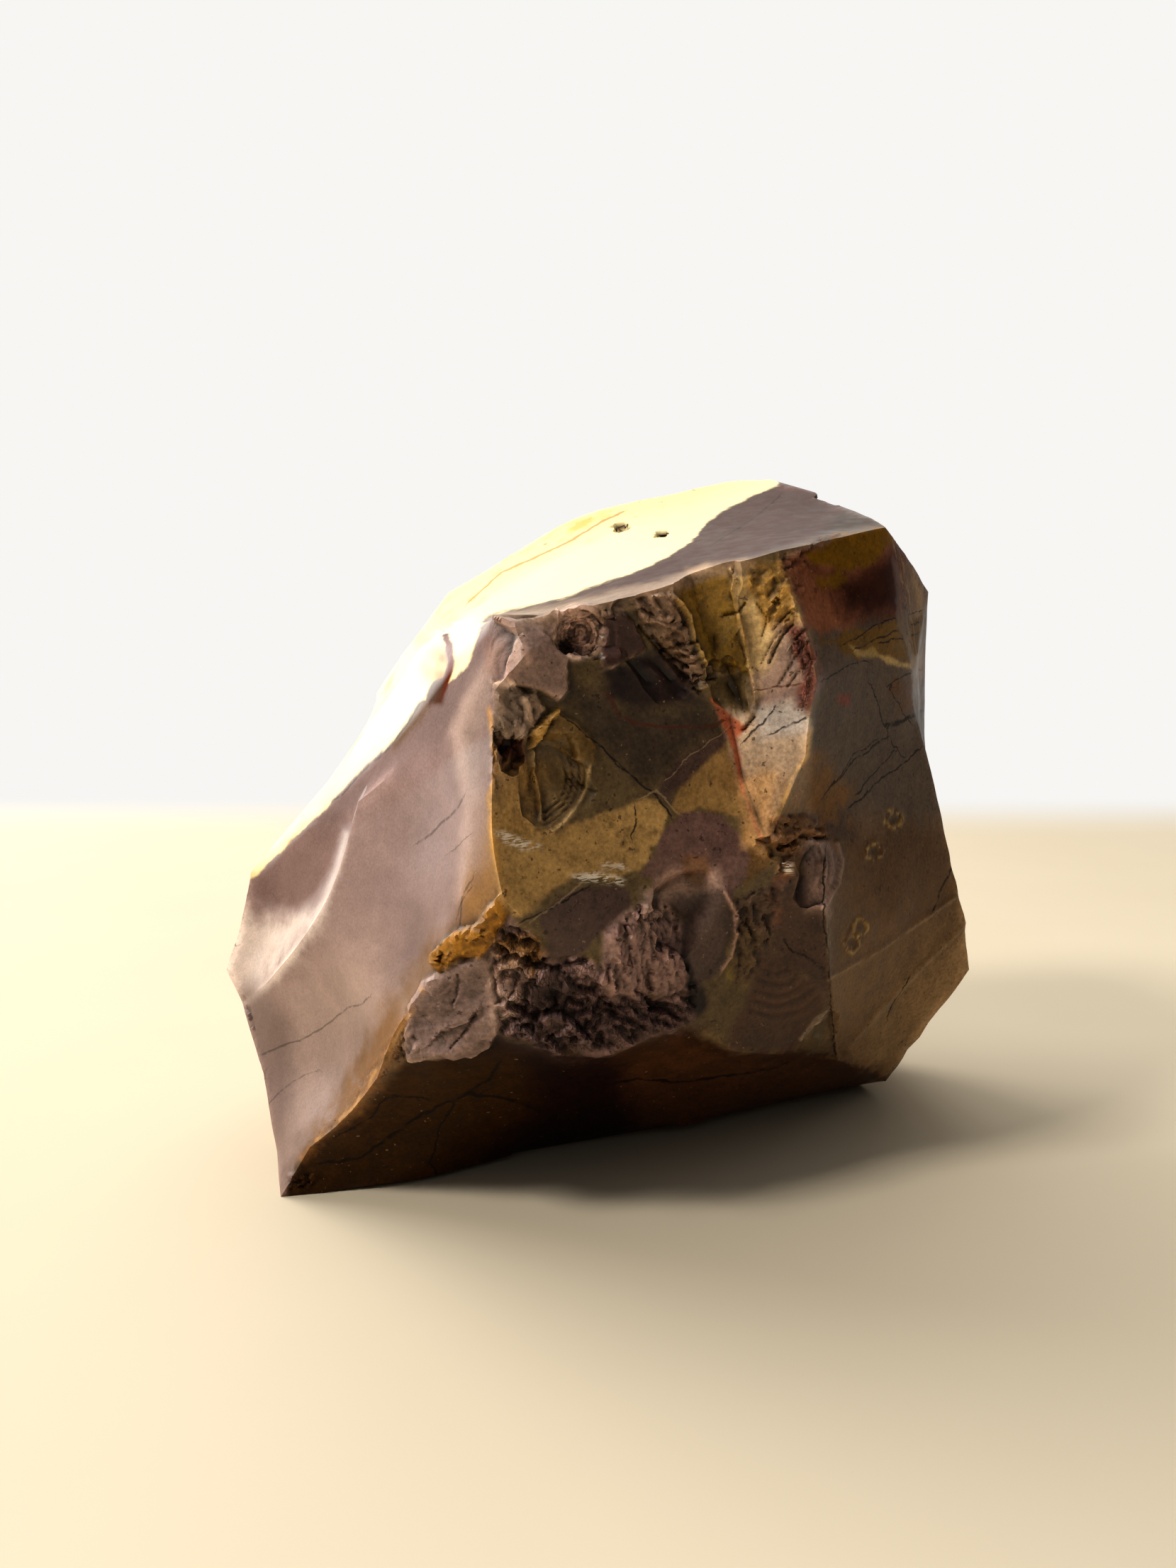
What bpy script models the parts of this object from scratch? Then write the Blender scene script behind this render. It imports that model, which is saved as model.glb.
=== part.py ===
"""A rough chunk of mookaite jasper: one broken stone of shell-hollowed fracture faces that meet in sharp ridges.

The stone stands on a small flat sole. The front faces -Y, +X is to the right and +Z is up.
It is laid out as corners joined by ridges. Each face is a skin stretched over its ring of ridges
and then hollowed, and the smaller flake scars, pits and holes are cut out of it with ellipsoids.
"""

import bmesh
import bpy
import numpy as np
from mathutils import Matrix, Vector, noise

STONE_NAME = "mookaite_jasper"
MM = 0.001

# Fineness of the surface, as the longest side of a triangle in millimetres
CRUMB_SIDE = 3.0
FRONT_SIDE = 4.6
SMOOTH_SIDE = 5.6
REAR_SIDE = 7.5
SPLIT_ROUNDS = 4

# How the skins settle
SKIN_PASSES = 24
HOLLOW_PASSES = 260
SOFT_PASSES = 3

# Unevenness of the broken surface, in millimetres
WAVE_HEIGHT = 0.35
WAVE_LENGTH = 11.0
CRUMB_HEIGHT = 1.0
CRUMB_LENGTH = 3.6
CRUMB_OCTAVES = 2
RIDGE_NICK = 0.35
RIDGE_NICK_LENGTH = 4.0
# Where the noise is read for each axis, so that the three don't follow each other
DRIFT_APART = (0, 31, 57)

# Places where ridges meet, in millimetres
CORNERS = {
    "crown_left": (-13, -32, 69),
    "wedge_head": (12.5, -27.5, 74.5),
    "wedge_top": (18, -26, 76),
    "shoulder": (33, -13, 80),
    "summit": (24, 20, 90.5),
    "west_brow": (-28.5, 15, 66.5),
    "west_knee": (-49.5, 2, 34.5),
    "west_notch": (-50, -3, 18),
    "cream_bend": (-19.5, -24, 60),
    "toe": (-40, -22.5, 0),
    "crust_top": (-11.5, -39.5, 40.5),
    "crust_left": (-19, -34.5, 33.5),
    "lower_left": (-25.5, -30.5, 21),
    "knot": (17, -27.5, 44),
    "band_end": (9.5, -27.5, 29.5),
    "ripple_left": (10.5, -25, 21.5),
    "ridge_low": (25, -23, 29.5),
    "ridge_foot": (30, -7, 11.5),
    "fold_foot": (-4.5, -9.5, 1.5),
    "heel": (41, 9, 2),
    "narrow_low": (39.5, -5, 62.5),
    "east_tip": (43, 4, 73),
    "east_mid": (48.5, 3, 32),
    "east_lip": (50, 4.5, 27),
    "east_point": (51.5, 6, 20),
    "east_back": (49, 22, 38),
    "east_low_back": (47, 24, 12),
    "back_east": (31, 37, 50),
    "back_mid": (-4, 43, 44),
    "back_west": (-38, 26, 40),
    "west_back": (-48, 12, 20),
    "sole_east": (38, 13, 0),
    "sole_back_east": (28, 30, 0),
    "sole_back_west": (-22, 30, 0),
    "sole_west": (-39, 8, 0),
}

# Each ridge runs from one corner, through its own points, to another corner
RIDGES = {
    "top_front": (
        "crown_left",
        [(-6.5, -31.5, 69), (-0.5, -30, 70.5), (5, -29, 72), (10, -28, 73.5)],
        "wedge_head",
    ),
    "top_wedge": ("wedge_head", [], "wedge_top"),
    "top_right": ("wedge_top", [(24.5, -21, 78)], "shoulder"),
    "rim_right": ("shoulder", [(33, -3, 82.5), (31.5, 6, 84.5), (29.5, 12, 87)], "summit"),
    "rim_back": (
        "summit",
        [(18, 23, 90.5), (7, 24, 88), (-5, 22, 85.5), (-15.5, 18, 78.5), (-23.5, 16, 73.5)],
        "west_brow",
    ),
    "cream_fold": ("west_brow", [(-23, -3, 68)], "crown_left"),
    "west_sky": (
        "west_brow",
        [(-32.5, 14, 62), (-34.5, 13, 56.5), (-36, 11, 51), (-40, 9, 46.5), (-45, 6, 41)],
        "west_knee",
    ),
    "cream_edge": ("crown_left", [(-15.5, -29, 65.5), (-17.5, -26, 62.5)], "cream_bend"),
    "cream_slope": (
        "cream_bend",
        [(-23.5, -20, 57.5), (-30, -14, 52), (-40, -6, 44.5), (-47, -0.5, 37)],
        "west_knee",
    ),
    "scar_rim": (
        "cream_bend",
        [
            (-21.5, -23.5, 56.5),
            (-26, -21, 51),
            (-30.5, -18, 47.5),
            (-32.5, -18.5, 40),
            (-34.5, -17.5, 35),
            (-38.5, -15, 30),
            (-44.5, -9, 22.5),
        ],
        "west_notch",
    ),
    "west_tip": ("west_knee", [(-50.5, 1, 28.5), (-52.5, -1, 22)], "west_notch"),
    "west_low": ("west_notch", [(-48.5, -5, 14), (-45.5, -9, 10), (-42, -16, 2.5)], "toe"),
    "roll": (
        "crown_left",
        [(-13.5, -32.5, 64), (-16.5, -32.5, 57), (-15.5, -34, 53), (-15, -35, 47)],
        "crust_left",
    ),
    "front_left": (
        "crown_left",
        [
            (-10.5, -33.5, 68),
            (-9.5, -35, 65),
            (-12.5, -35.5, 61),
            (-13, -36.5, 57),
            (-12.5, -37.5, 53),
            (-13, -38.5, 47),
        ],
        "crust_top",
    ),
    "crust": ("crust_top", [(-14, -38, 38)], "crust_left"),
    "low_left": ("crust_left", [(-19, -34.5, 31), (-22.5, -32.5, 26.5)], "lower_left"),
    "keel": (
        "lower_left",
        [(-26.5, -29.5, 17.5), (-30, -26.5, 12.5), (-32.5, -25, 9.5), (-36, -23, 6.5)],
        "toe",
    ),
    "undercut_brow": (
        "lower_left",
        [(-18.5, -33.5, 21.5), (-13, -34, 24.5), (-6, -32.5, 21.5), (0, -31, 21), (5, -28.5, 22.5)],
        "ripple_left",
    ),
    "undercut_lip": ("ripple_left", [(14, -23, 18.5), (19, -19, 16.5), (23, -15, 15.5)], "ridge_foot"),
    "undercut_end": ("ridge_foot", [], "heel"),
    "undercut_fold": ("ripple_left", [], "fold_foot"),
    "foot_left": ("toe", [(-22.5, -19.5, 0.5), (-16, -14.5, 1)], "fold_foot"),
    "foot_right": ("fold_foot", [(10, -6.5, 2), (23.5, 1, 2)], "heel"),
    "band_top": (
        "crust_top",
        [(-8, -37.5, 36), (-7, -36.5, 33), (-3, -35, 33.5), (2, -32.5, 38), (5.5, -30.5, 38)],
        "band_end",
    ),
    "band_side": ("band_end", [], "ripple_left"),
    "main_right": ("knot", [(13, -28.5, 37.5)], "band_end"),
    "red_edge": (
        "wedge_head",
        [(13.5, -25.5, 70.5), (15, -24.5, 64.5), (13, -24.5, 57.5), (14.5, -24.5, 51)],
        "knot",
    ),
    "right_ridge": (
        "wedge_top",
        [(19.5, -27, 70), (22, -27.5, 65), (22, -27.5, 62), (21, -28, 54), (19, -28.5, 49.5)],
        "knot",
    ),
    "ridge_mid": ("knot", [(20, -27, 40.5), (24, -25, 36)], "ridge_low"),
    "ridge_end": ("ridge_low", [(26.5, -19, 23.5)], "ridge_foot"),
    "bend_high": ("ridge_low", [(35, -12, 30)], "east_mid"),
    "bend_low": ("ridge_foot", [(37, -2, 17)], "east_lip"),
    "narrow_front": ("shoulder", [(36, -11, 69.5)], "narrow_low"),
    "narrow_back": ("shoulder", [(38, -4, 77)], "east_tip"),
    "narrow_foot": ("east_tip", [], "narrow_low"),
    "east_rim": ("narrow_low", [(40.5, -3, 55.5), (42.5, -2, 50.5), (45, 0, 42)], "east_mid"),
    "east_rim_mid": ("east_mid", [], "east_lip"),
    "east_rim_low": ("east_lip", [], "east_point"),
    "east_heel": ("east_point", [(49, 6, 16), (46.5, 7, 11.5), (44, 8, 7)], "heel"),
    "back_crest": ("summit", [], "back_east"),
    "back_crown": ("summit", [], "back_mid"),
    "back_brow": ("back_mid", [], "back_east"),
    "back_west_brow": ("back_mid", [(-22, 38, 42)], "back_west"),
    "west_rear": ("west_brow", [], "back_west"),
    "west_cheek": ("back_west", [], "west_back"),
    "west_knee_back": ("west_knee", [], "west_back"),
    "west_back_foot": ("west_back", [], "sole_west"),
    "east_crest": ("back_east", [], "east_back"),
    "east_tip_back": ("east_tip", [], "east_back"),
    "east_back_edge": ("east_back", [], "east_low_back"),
    "east_point_back": ("east_point", [], "east_low_back"),
    "east_back_foot": ("east_low_back", [], "sole_back_east"),
    "back_spine": ("back_mid", [(2, 42, 20)], "sole_back_east"),
    "back_west_foot": ("back_west", [(-34, 31, 16)], "sole_back_west"),
    "heel_sole": ("heel", [], "sole_east"),
    "sole_front": ("toe", [(-23, -17, 0), (-14, -11, 0), (2, -4.5, 0), (20, 3.5, 0)], "sole_east"),
    "sole_right": ("sole_east", [], "sole_back_east"),
    "sole_rear": ("sole_back_east", [(5, 36, 0)], "sole_back_west"),
    "sole_left": ("sole_back_west", [], "sole_west"),
    "sole_toe": ("sole_west", [(-44, -8, 0)], "toe"),
}

# Ridges that are only gentle turns of the surface
SOFT_RIDGES = ("cream_fold", "cream_slope", "roll", "bend_high", "bend_low", "undercut_fold", "cream_edge")

# Each face: the ring of ridges around it, how deep its middle is hollowed and the longest side of its triangles
FACES = {
    "crown": (
        ("top_front", "top_wedge", "top_right", "rim_right", "rim_back", "cream_fold"),
        0.8,
        SMOOTH_SIDE,
    ),
    "cream": (("cream_fold", "west_sky", "cream_slope", "cream_edge"), -0.6, SMOOTH_SIDE),
    "west_scar": (("cream_slope", "west_tip", "scar_rim"), 3.8, FRONT_SIDE),
    "west_face": (
        ("cream_edge", "scar_rim", "west_low", "keel", "low_left", "roll"),
        3.4,
        SMOOTH_SIDE,
    ),
    "roll_strip": (("roll", "crust", "front_left"), 0.2, FRONT_SIDE),
    "front_main": (
        ("top_front", "red_edge", "main_right", "band_top", "front_left"),
        0.9,
        FRONT_SIDE,
    ),
    "wedge": (("top_wedge", "right_ridge", "red_edge"), 0.3, CRUMB_SIDE),
    "band": (("crust", "low_left", "undercut_brow", "band_side", "band_top"), -0.6, CRUMB_SIDE),
    "ripple_scar": (
        ("main_right", "ridge_mid", "ridge_end", "undercut_lip", "band_side"),
        1.2,
        FRONT_SIDE,
    ),
    "undercut_west": (("keel", "undercut_brow", "undercut_fold", "foot_left"), 1.6, SMOOTH_SIDE),
    "undercut_east": (("undercut_fold", "undercut_lip", "undercut_end", "foot_right"), 1.0, SMOOTH_SIDE),
    "right_main": (
        ("top_right", "narrow_front", "east_rim", "bend_high", "ridge_mid", "right_ridge"),
        0.9,
        SMOOTH_SIDE,
    ),
    "right_band": (("bend_high", "east_rim_mid", "bend_low", "ridge_end"), 0.5, SMOOTH_SIDE),
    "right_low": (("bend_low", "east_rim_low", "east_heel", "undercut_end"), 0.5, SMOOTH_SIDE),
    "narrow": (("narrow_front", "narrow_foot", "narrow_back"), 0.6, SMOOTH_SIDE),
    "east_upper": (
        ("narrow_back", "rim_right", "back_crest", "east_crest", "east_tip_back"),
        2.0,
        REAR_SIDE,
    ),
    "east": (
        (
            "narrow_foot",
            "east_rim",
            "east_rim_mid",
            "east_rim_low",
            "east_point_back",
            "east_back_edge",
            "east_tip_back",
        ),
        1.4,
        REAR_SIDE,
    ),
    "east_under": (
        ("east_heel", "heel_sole", "sole_right", "east_back_foot", "east_point_back"),
        1.2,
        REAR_SIDE,
    ),
    "back_left_crown": (("rim_back", "back_crown", "back_west_brow", "west_rear"), 3.0, REAR_SIDE),
    "back_right_crown": (("back_crown", "back_brow", "back_crest"), 1.0, REAR_SIDE),
    "back_right": (
        ("back_brow", "east_crest", "east_back_edge", "east_back_foot", "back_spine"),
        2.4,
        REAR_SIDE,
    ),
    "back_left": (("back_west_brow", "back_spine", "sole_rear", "back_west_foot"), 2.8, REAR_SIDE),
    "west_rear_face": (("west_sky", "west_knee_back", "west_cheek", "west_rear"), 1.4, REAR_SIDE),
    "west_low_rear": (("west_cheek", "west_back_foot", "sole_left", "back_west_foot"), 1.2, REAR_SIDE),
    "west_under": (
        ("west_tip", "west_low", "sole_toe", "west_back_foot", "west_knee_back"),
        1.0,
        REAR_SIDE,
    ),
    "sill": (("foot_left", "foot_right", "heel_sole", "sole_front"), 0.0, REAR_SIDE),
    "sole": (("sole_front", "sole_right", "sole_rear", "sole_left", "sole_toe"), 0.0, REAR_SIDE),
}
FACE_NAMES = list(FACES)
SOLE = FACE_NAMES.index("sole")

# Faces whose surface is crumbled, and how strongly
CRUMBLED = {"band": 1.0, "wedge": 0.35}

# Scars cut after the faces are made: middle, outward direction, half width, half height, depth and turn in degrees
SCARS = {
    "pit_dish": ((-3.6, -31.3, 66.8), (0.45, -0.88, 0.25), 4.4, 3.6, 1.3, -20),
    "pit": ((-4.1, -30.6, 66.6), (0.25, -0.95, 0.2), 2.4, 2.1, 2.6, -20),
    "cracked_step": ((5.6, -28.4, 66.6), (-0.15, -0.98, -0.35), 3.9, 6.4, 1.5, 28),
    "upright_scar": ((10.3, -26.6, 68.6), (0.25, -0.96, 0.15), 3.9, 7.4, 1.7, 6),
    "short_flake": ((13.2, -24.9, 60.6), (-0.2, -0.96, 0.15), 2.2, 4.0, 1.2, 20),
    "dark_hole": ((-10.8, -36.0, 55.2), (0.2, -0.97, 0.1), 1.7, 2.2, 3.6, 0),
    "shell_scar": ((-6.4, -34.0, 51.6), (0.45, -0.88, 0.15), 3.8, 5.2, 1.7, 12),
    "round_scar": ((9.4, -28.9, 36.1), (-0.35, -0.93, 0.1), 4.6, 5.0, 1.7, 10),
    "ripple_flake": ((23.2, -24.2, 40.4), (0.2, -0.97, 0.15), 2.5, 3.8, 1.2, -15),
    "knot_pit": ((18.3, -27.2, 43.3), (0.2, -0.95, 0.1), 2.6, 1.4, 1.3, -15),
    "pale_step": ((27.0, -13.4, 16.6), (0.65, -0.7, -0.3), 2.6, 4.2, 1.0, 30),
    "crown_hole_west": ((1.7, 9.8, 82.3), (-0.2, -0.3, 0.93), 1.2, 1.9, 2.0, 10),
    "crown_hole_east": ((7.0, 2.2, 80.6), (-0.15, -0.3, 0.94), 1.1, 1.6, 2.0, 0),
    "rim_flake": ((30.5, 9.5, 85.6), (0.7, 0.2, 0.7), 3.5, 2.0, 0.8, 0),
    "crown_back_scar": ((-10.0, 34.0, 60.0), (-0.05, 0.8, 0.6), 19.0, 13.0, 6.0, 15),
    "back_bite": ((20.0, 38.0, 47.0), (0.3, 0.9, 0.15), 15.0, 10.0, 4.2, -20),
    "spine_bite": ((3.0, 41.0, 17.0), (0.15, 0.95, -0.35), 17.0, 9.0, 4.6, 30),
    "east_back_bite": ((48.5, 22.0, 29.0), (0.75, 0.65, -0.1), 9.0, 14.0, 4.0, 10),
    "east_high_bite": ((37.0, 24.0, 66.0), (0.75, 0.5, 0.45), 9.0, 14.0, 4.4, -25),
    "west_cheek_bite": ((-43.0, 19.0, 30.0), (-0.75, 0.65, 0.1), 12.0, 14.0, 4.4, 20),
    "west_low_bite": ((-35.0, 24.0, 8.0), (-0.6, 0.65, -0.45), 11.0, 7.0, 3.4, 0),
}
# A scar's cutter stands out of the stone by this share of its own thickness
SCAR_OVERHANG = 0.55
SCAR_ROUNDS = 3
# How far a cutter's outline strays from an ellipse, and how quickly. The broad scars are more even
SCAR_WAVE = 0.4
BROAD_SCAR_WAVE = 0.16
BROAD_SCAR = 6.0
SCAR_WAVE_RATE = 1.7


def ridge_points(name):
    """All points of a ridge from its first corner to its last."""
    start, between, end = RIDGES[name]
    return [CORNERS[start], *between, CORNERS[end]]


def ring_of(ridge_names):
    """The closed ring of points that a face's ridges make, each ridge turned to follow the one before."""
    chains = [ridge_points(name) for name in ridge_names]
    if chains[0][-1] not in (chains[1][0], chains[1][-1]):
        chains[0].reverse()
    ring = chains[0][:-1]
    reached = chains[0][-1]
    for chain in chains[1:]:
        if chain[0] != reached:
            chain.reverse()
        ring += chain[:-1]
        reached = chain[-1]
    return ring


def faceted_shell():
    """The closed shell of plain faces, with each face's number kept on its triangles."""
    shell = bmesh.new()
    face_number = shell.faces.layers.int.new("face_number")
    known = {}
    for number, (ridge_names, _hollow, _side) in enumerate(FACES.values()):
        ring = ring_of(ridge_names)
        for point in ring:
            if point not in known:
                known[point] = shell.verts.new(point)
        face = shell.faces.new([known[point] for point in ring])
        face[face_number] = number
    bmesh.ops.recalc_face_normals(shell, faces=shell.faces)
    bmesh.ops.triangulate(shell, faces=shell.faces, ngon_method="BEAUTY")
    return shell, face_number


def refine(shell, face_number):
    """Splits long sides until the triangles are small and even. The sole stays plain."""
    longest = [side for _ridges, _hollow, side in FACES.values()]
    for _round in range(SPLIT_ROUNDS):
        long_sides = []
        for edge in shell.edges:
            numbers = [face[face_number] for face in edge.link_faces]
            if SOLE not in numbers and edge.calc_length() > min(longest[number] for number in numbers):
                long_sides.append(edge)
        if not long_sides:
            break
        bmesh.ops.subdivide_edges(shell, edges=long_sides, cuts=1)
        bmesh.ops.triangulate(shell, faces=shell.faces, quad_method="SHORT_EDGE", ngon_method="BEAUTY")
        inner = [
            edge
            for edge in shell.edges
            if len({face[face_number] for face in edge.link_faces}) == 1
        ]
        bmesh.ops.beautify_fill(shell, faces=shell.faces, edges=inner, method="ANGLE")
    shell.verts.ensure_lookup_table()
    shell.verts.index_update()


def neighbour_mean(values, ends, counts):
    """The mean of each vertex's neighbours."""
    total = np.zeros_like(values)
    np.add.at(total, ends[:, 0], values[ends[:, 1]])
    np.add.at(total, ends[:, 1], values[ends[:, 0]])
    return total / (counts if values.ndim == 1 else counts[:, None])


def touching_faces(shell, face_number):
    """For each vertex, the numbers of the stone's faces that meet there."""
    return [tuple(sorted({face[face_number] for face in vertex.link_faces})) for vertex in shell.verts]


def soft_pairs():
    """The pairs of faces that turn gently into each other."""
    pairs = set()
    for i, first in enumerate(FACE_NAMES):
        for j, second in enumerate(FACE_NAMES):
            if set(FACES[first][0]) & set(FACES[second][0]) & set(SOFT_RIDGES):
                pairs.add((i, j))
    return pairs


def settle(shell, face_number):
    """Stretches each face's skin over its ridges, hollows it and rounds the soft ridges."""
    points = np.array([vertex.co[:] for vertex in shell.verts])
    ends = np.array([[vertex.index for vertex in edge.verts] for edge in shell.edges])
    counts = np.bincount(ends.ravel(), minlength=len(points)).astype(float)
    numbers = touching_faces(shell, face_number)
    inner = np.array([len(found) == 1 for found in numbers])
    gentle = soft_pairs()
    soft = np.array([found in gentle for found in numbers])
    for _pass in range(SKIN_PASSES):
        points[inner] = neighbour_mean(points, ends, counts)[inner]
    depth = np.zeros(len(points))
    for _pass in range(HOLLOW_PASSES):
        depth[inner] = neighbour_mean(depth, ends, counts)[inner] + 1
    for number, (_ridges, hollow, _side) in enumerate(FACES.values()):
        members = np.array([found == (number,) for found in numbers])
        if not members.any():
            continue
        outward = Vector()
        for face in shell.faces:
            if face[face_number] == number:
                outward += face.normal * face.calc_area()
        share = depth[members] / depth[members].max()
        points[members] -= hollow * share[:, None] * np.array(outward.normalized())
    moving = inner | soft
    for _pass in range(SOFT_PASSES):
        points[moving] = neighbour_mean(points, ends, counts)[moving]
    for vertex, point in zip(shell.verts, points):
        vertex.co = point


def drift(point, length):
    """A smooth shift that varies over the given length, read at three places far apart."""
    return Vector([noise.noise(point / length + Vector((apart, 0, 0))) for apart in DRIFT_APART])


def roughen(shell, face_number):
    """Waves over the whole stone, nicks along its ridges and the crumbled band on its front."""
    shell.normal_update()
    shifts = []
    for vertex, found in zip(shell.verts, touching_faces(shell, face_number)):
        if SOLE in found:
            shifts.append(Vector())
            continue
        shift = drift(vertex.co, WAVE_LENGTH) * WAVE_HEIGHT
        if len(found) > 1:
            shift += drift(vertex.co, RIDGE_NICK_LENGTH) * RIDGE_NICK
        crumbled = max(CRUMBLED.get(FACE_NAMES[number], 0.0) for number in found)
        crumb = sum(
            noise.noise(vertex.co * 2**octave / CRUMB_LENGTH) / 2**octave
            for octave in range(CRUMB_OCTAVES)
        )
        shifts.append(shift + vertex.normal * crumb * crumbled * CRUMB_HEIGHT)
    for vertex, shift in zip(shell.verts, shifts):
        vertex.co += shift
        vertex.co.z = max(vertex.co.z, 0.0)


def centred(shell):
    """Moves the stone so that the origin is below the middle of it, on the surface it stands on."""
    points = np.array([vertex.co[:] for vertex in shell.verts])
    middle = (points.min(axis=0) + points.max(axis=0)) / 2
    shift = Vector((-middle[0], -middle[1], -points[:, 2].min()))
    bmesh.ops.translate(shell, vec=shift, verts=shell.verts)
    return shift


def stone_object(shell, material):
    """The shell as a named object in metres."""
    bmesh.ops.scale(shell, vec=(MM, MM, MM), verts=shell.verts)
    bmesh.ops.recalc_face_normals(shell, faces=shell.faces)
    mesh = bpy.data.meshes.new(STONE_NAME)
    shell.to_mesh(mesh)
    shell.free()
    stone = bpy.data.objects.new(STONE_NAME, mesh)
    stone.data.materials.append(material)
    bpy.context.scene.collection.objects.link(stone)
    return stone


def scar_cutter(name, shift):
    """An uneven ellipsoid that stands over its scar and dips into the stone by the scar's depth."""
    middle, outward, half_width, half_height, depth, turn = SCARS[name]
    outward = Vector(outward).normalized()
    thickness = depth / (1 - SCAR_OVERHANG)
    widen = 1 / np.sqrt(1 - SCAR_OVERHANG**2)
    side = Vector((0, 0, 1)).cross(outward).normalized()
    up = outward.cross(side)
    frame = Matrix((side, up, outward)).transposed().to_4x4()
    place = Matrix.Translation((Vector(middle) + shift + outward * thickness * SCAR_OVERHANG) * MM)
    sizes = Matrix.Diagonal((half_width * widen * MM, half_height * widen * MM, thickness * MM, 1))
    cutter_mesh = bmesh.new()
    wave = BROAD_SCAR_WAVE if half_width > BROAD_SCAR else SCAR_WAVE
    bmesh.ops.create_icosphere(cutter_mesh, subdivisions=SCAR_ROUNDS, radius=1)
    for vertex in cutter_mesh.verts:
        vertex.co *= 1 + wave * noise.noise(vertex.co * SCAR_WAVE_RATE + Vector(middle))
    turned = frame @ Matrix.Rotation(np.radians(turn), 4, "Z")
    bmesh.ops.transform(cutter_mesh, matrix=place @ turned @ sizes, verts=cutter_mesh.verts)
    mesh = bpy.data.meshes.new(f"cut_{name}")
    cutter_mesh.to_mesh(mesh)
    cutter_mesh.free()
    cutter = bpy.data.objects.new(f"cut_{name}", mesh)
    cutter.hide_render = True
    cutter.display_type = "WIRE"
    bpy.context.scene.collection.objects.link(cutter)
    return cutter


def cut_scars(stone, shift):
    """One Boolean cut for each scar."""
    for name in SCARS:
        cut = stone.modifiers.new(name, "BOOLEAN")
        cut.operation = "DIFFERENCE"
        cut.solver = "EXACT"
        cut.object = scar_cutter(name, shift)


def jasper_material():
    """Waxy mauve-brown stone."""
    material = bpy.data.materials.new("jasper")
    material.use_nodes = True
    shader = material.node_tree.nodes["Principled BSDF"]
    shader.inputs["Base Color"].default_value = (0.16, 0.11, 0.10, 1)
    shader.inputs["Roughness"].default_value = 0.45
    shader.inputs["Metallic"].default_value = 0.0
    return material


def main():
    for thing in list(bpy.data.objects):
        bpy.data.objects.remove(thing)
    shell, face_number = faceted_shell()
    refine(shell, face_number)
    settle(shell, face_number)
    roughen(shell, face_number)
    shift = centred(shell)
    stone = stone_object(shell, jasper_material())
    cut_scars(stone, shift)


main()
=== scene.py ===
"""Mookaite jasper, a rough fractured stone: its fine relief, its colours, floor, light and camera."""
import math

import bpy
import numpy as np
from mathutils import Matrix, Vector, kdtree, noise
from mathutils.bvhtree import BVHTree


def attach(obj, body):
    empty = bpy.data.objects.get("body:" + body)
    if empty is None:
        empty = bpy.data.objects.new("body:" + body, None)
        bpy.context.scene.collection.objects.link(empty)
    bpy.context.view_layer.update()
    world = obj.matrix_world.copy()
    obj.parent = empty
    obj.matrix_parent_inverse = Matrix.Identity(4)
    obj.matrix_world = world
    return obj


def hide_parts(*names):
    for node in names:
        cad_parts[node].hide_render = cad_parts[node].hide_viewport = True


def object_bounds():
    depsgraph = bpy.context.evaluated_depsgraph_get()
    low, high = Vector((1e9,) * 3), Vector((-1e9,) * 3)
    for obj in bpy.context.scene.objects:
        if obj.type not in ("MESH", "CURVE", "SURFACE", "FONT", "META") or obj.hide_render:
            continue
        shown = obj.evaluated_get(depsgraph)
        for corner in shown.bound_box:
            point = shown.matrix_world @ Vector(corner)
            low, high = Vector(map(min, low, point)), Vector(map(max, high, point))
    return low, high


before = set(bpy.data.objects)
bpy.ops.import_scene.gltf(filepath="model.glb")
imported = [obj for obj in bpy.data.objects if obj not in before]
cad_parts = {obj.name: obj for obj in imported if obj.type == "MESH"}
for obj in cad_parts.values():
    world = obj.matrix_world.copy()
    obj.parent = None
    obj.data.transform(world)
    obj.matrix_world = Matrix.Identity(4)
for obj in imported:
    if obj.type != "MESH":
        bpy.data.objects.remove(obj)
cad_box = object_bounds()

MM = 0.001

# Camera, in millimetres and photo pixels
EYE = np.array((-2.55, -153.74, 66.0))
LOOK_DOWN = math.radians(7)
FOCAL = 1600.0
PHOTO_WIDE = 1659.0
PHOTO_HIGH = 2212.0
FILM_WIDE = 36.0

# Fineness of the stone's mesh: sides and margins in millimetres, or in pixels round ribs and ring marks
FINE_SIDE = 0.34
RIB_SIDE = 0.25
RIB_MARGIN = 7.0
RING_MARGIN = 6.0
CRISP_SIDE = 0.3
CRISP_MARGIN = 0.6
PLAIN_SIDE = 0.56
SEEN_SIDE = 0.8
HIDDEN_SIDE = 1.9
SPLIT_OVER = 1.38
SPLIT_TURNS = 7
RIDGE_ANGLE = 32.0
RIDGE_CORNER = 0.2
SOFTEN = 0.5
BLOCKED_BY = 1.2
SEEN_FADE = 4
SOLE_FLAT = 0.01
SOLE_HEIGHT = 1.2
FRONT_MARGIN = 1.0
FINE_MARGIN = 0.8
BROAD_RIB = 0.5
SHARP_ANGLE = 36.0

# How far the photo's colours are carried past the seen points, in rounds, and the painted shade that
# darkens hollows and the painted highlight that lightens crests
COLOUR_SPREAD = 26
HOLLOW_ROUNDS = 5
HOLLOW_PAINTED_SHADE = 3.8
CREST_PAINTED_HIGHLIGHT = 2.4
PAINTED_LIGHT_LIMITS = (0.26, 1.5)

# Shine of the stone where no smooth face says otherwise, its refraction, and the depth of its finest grain
PLAIN_GLOSS = 0.3
STONE_IOR = 1.54
BUMP_HEIGHT = 0.35

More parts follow.
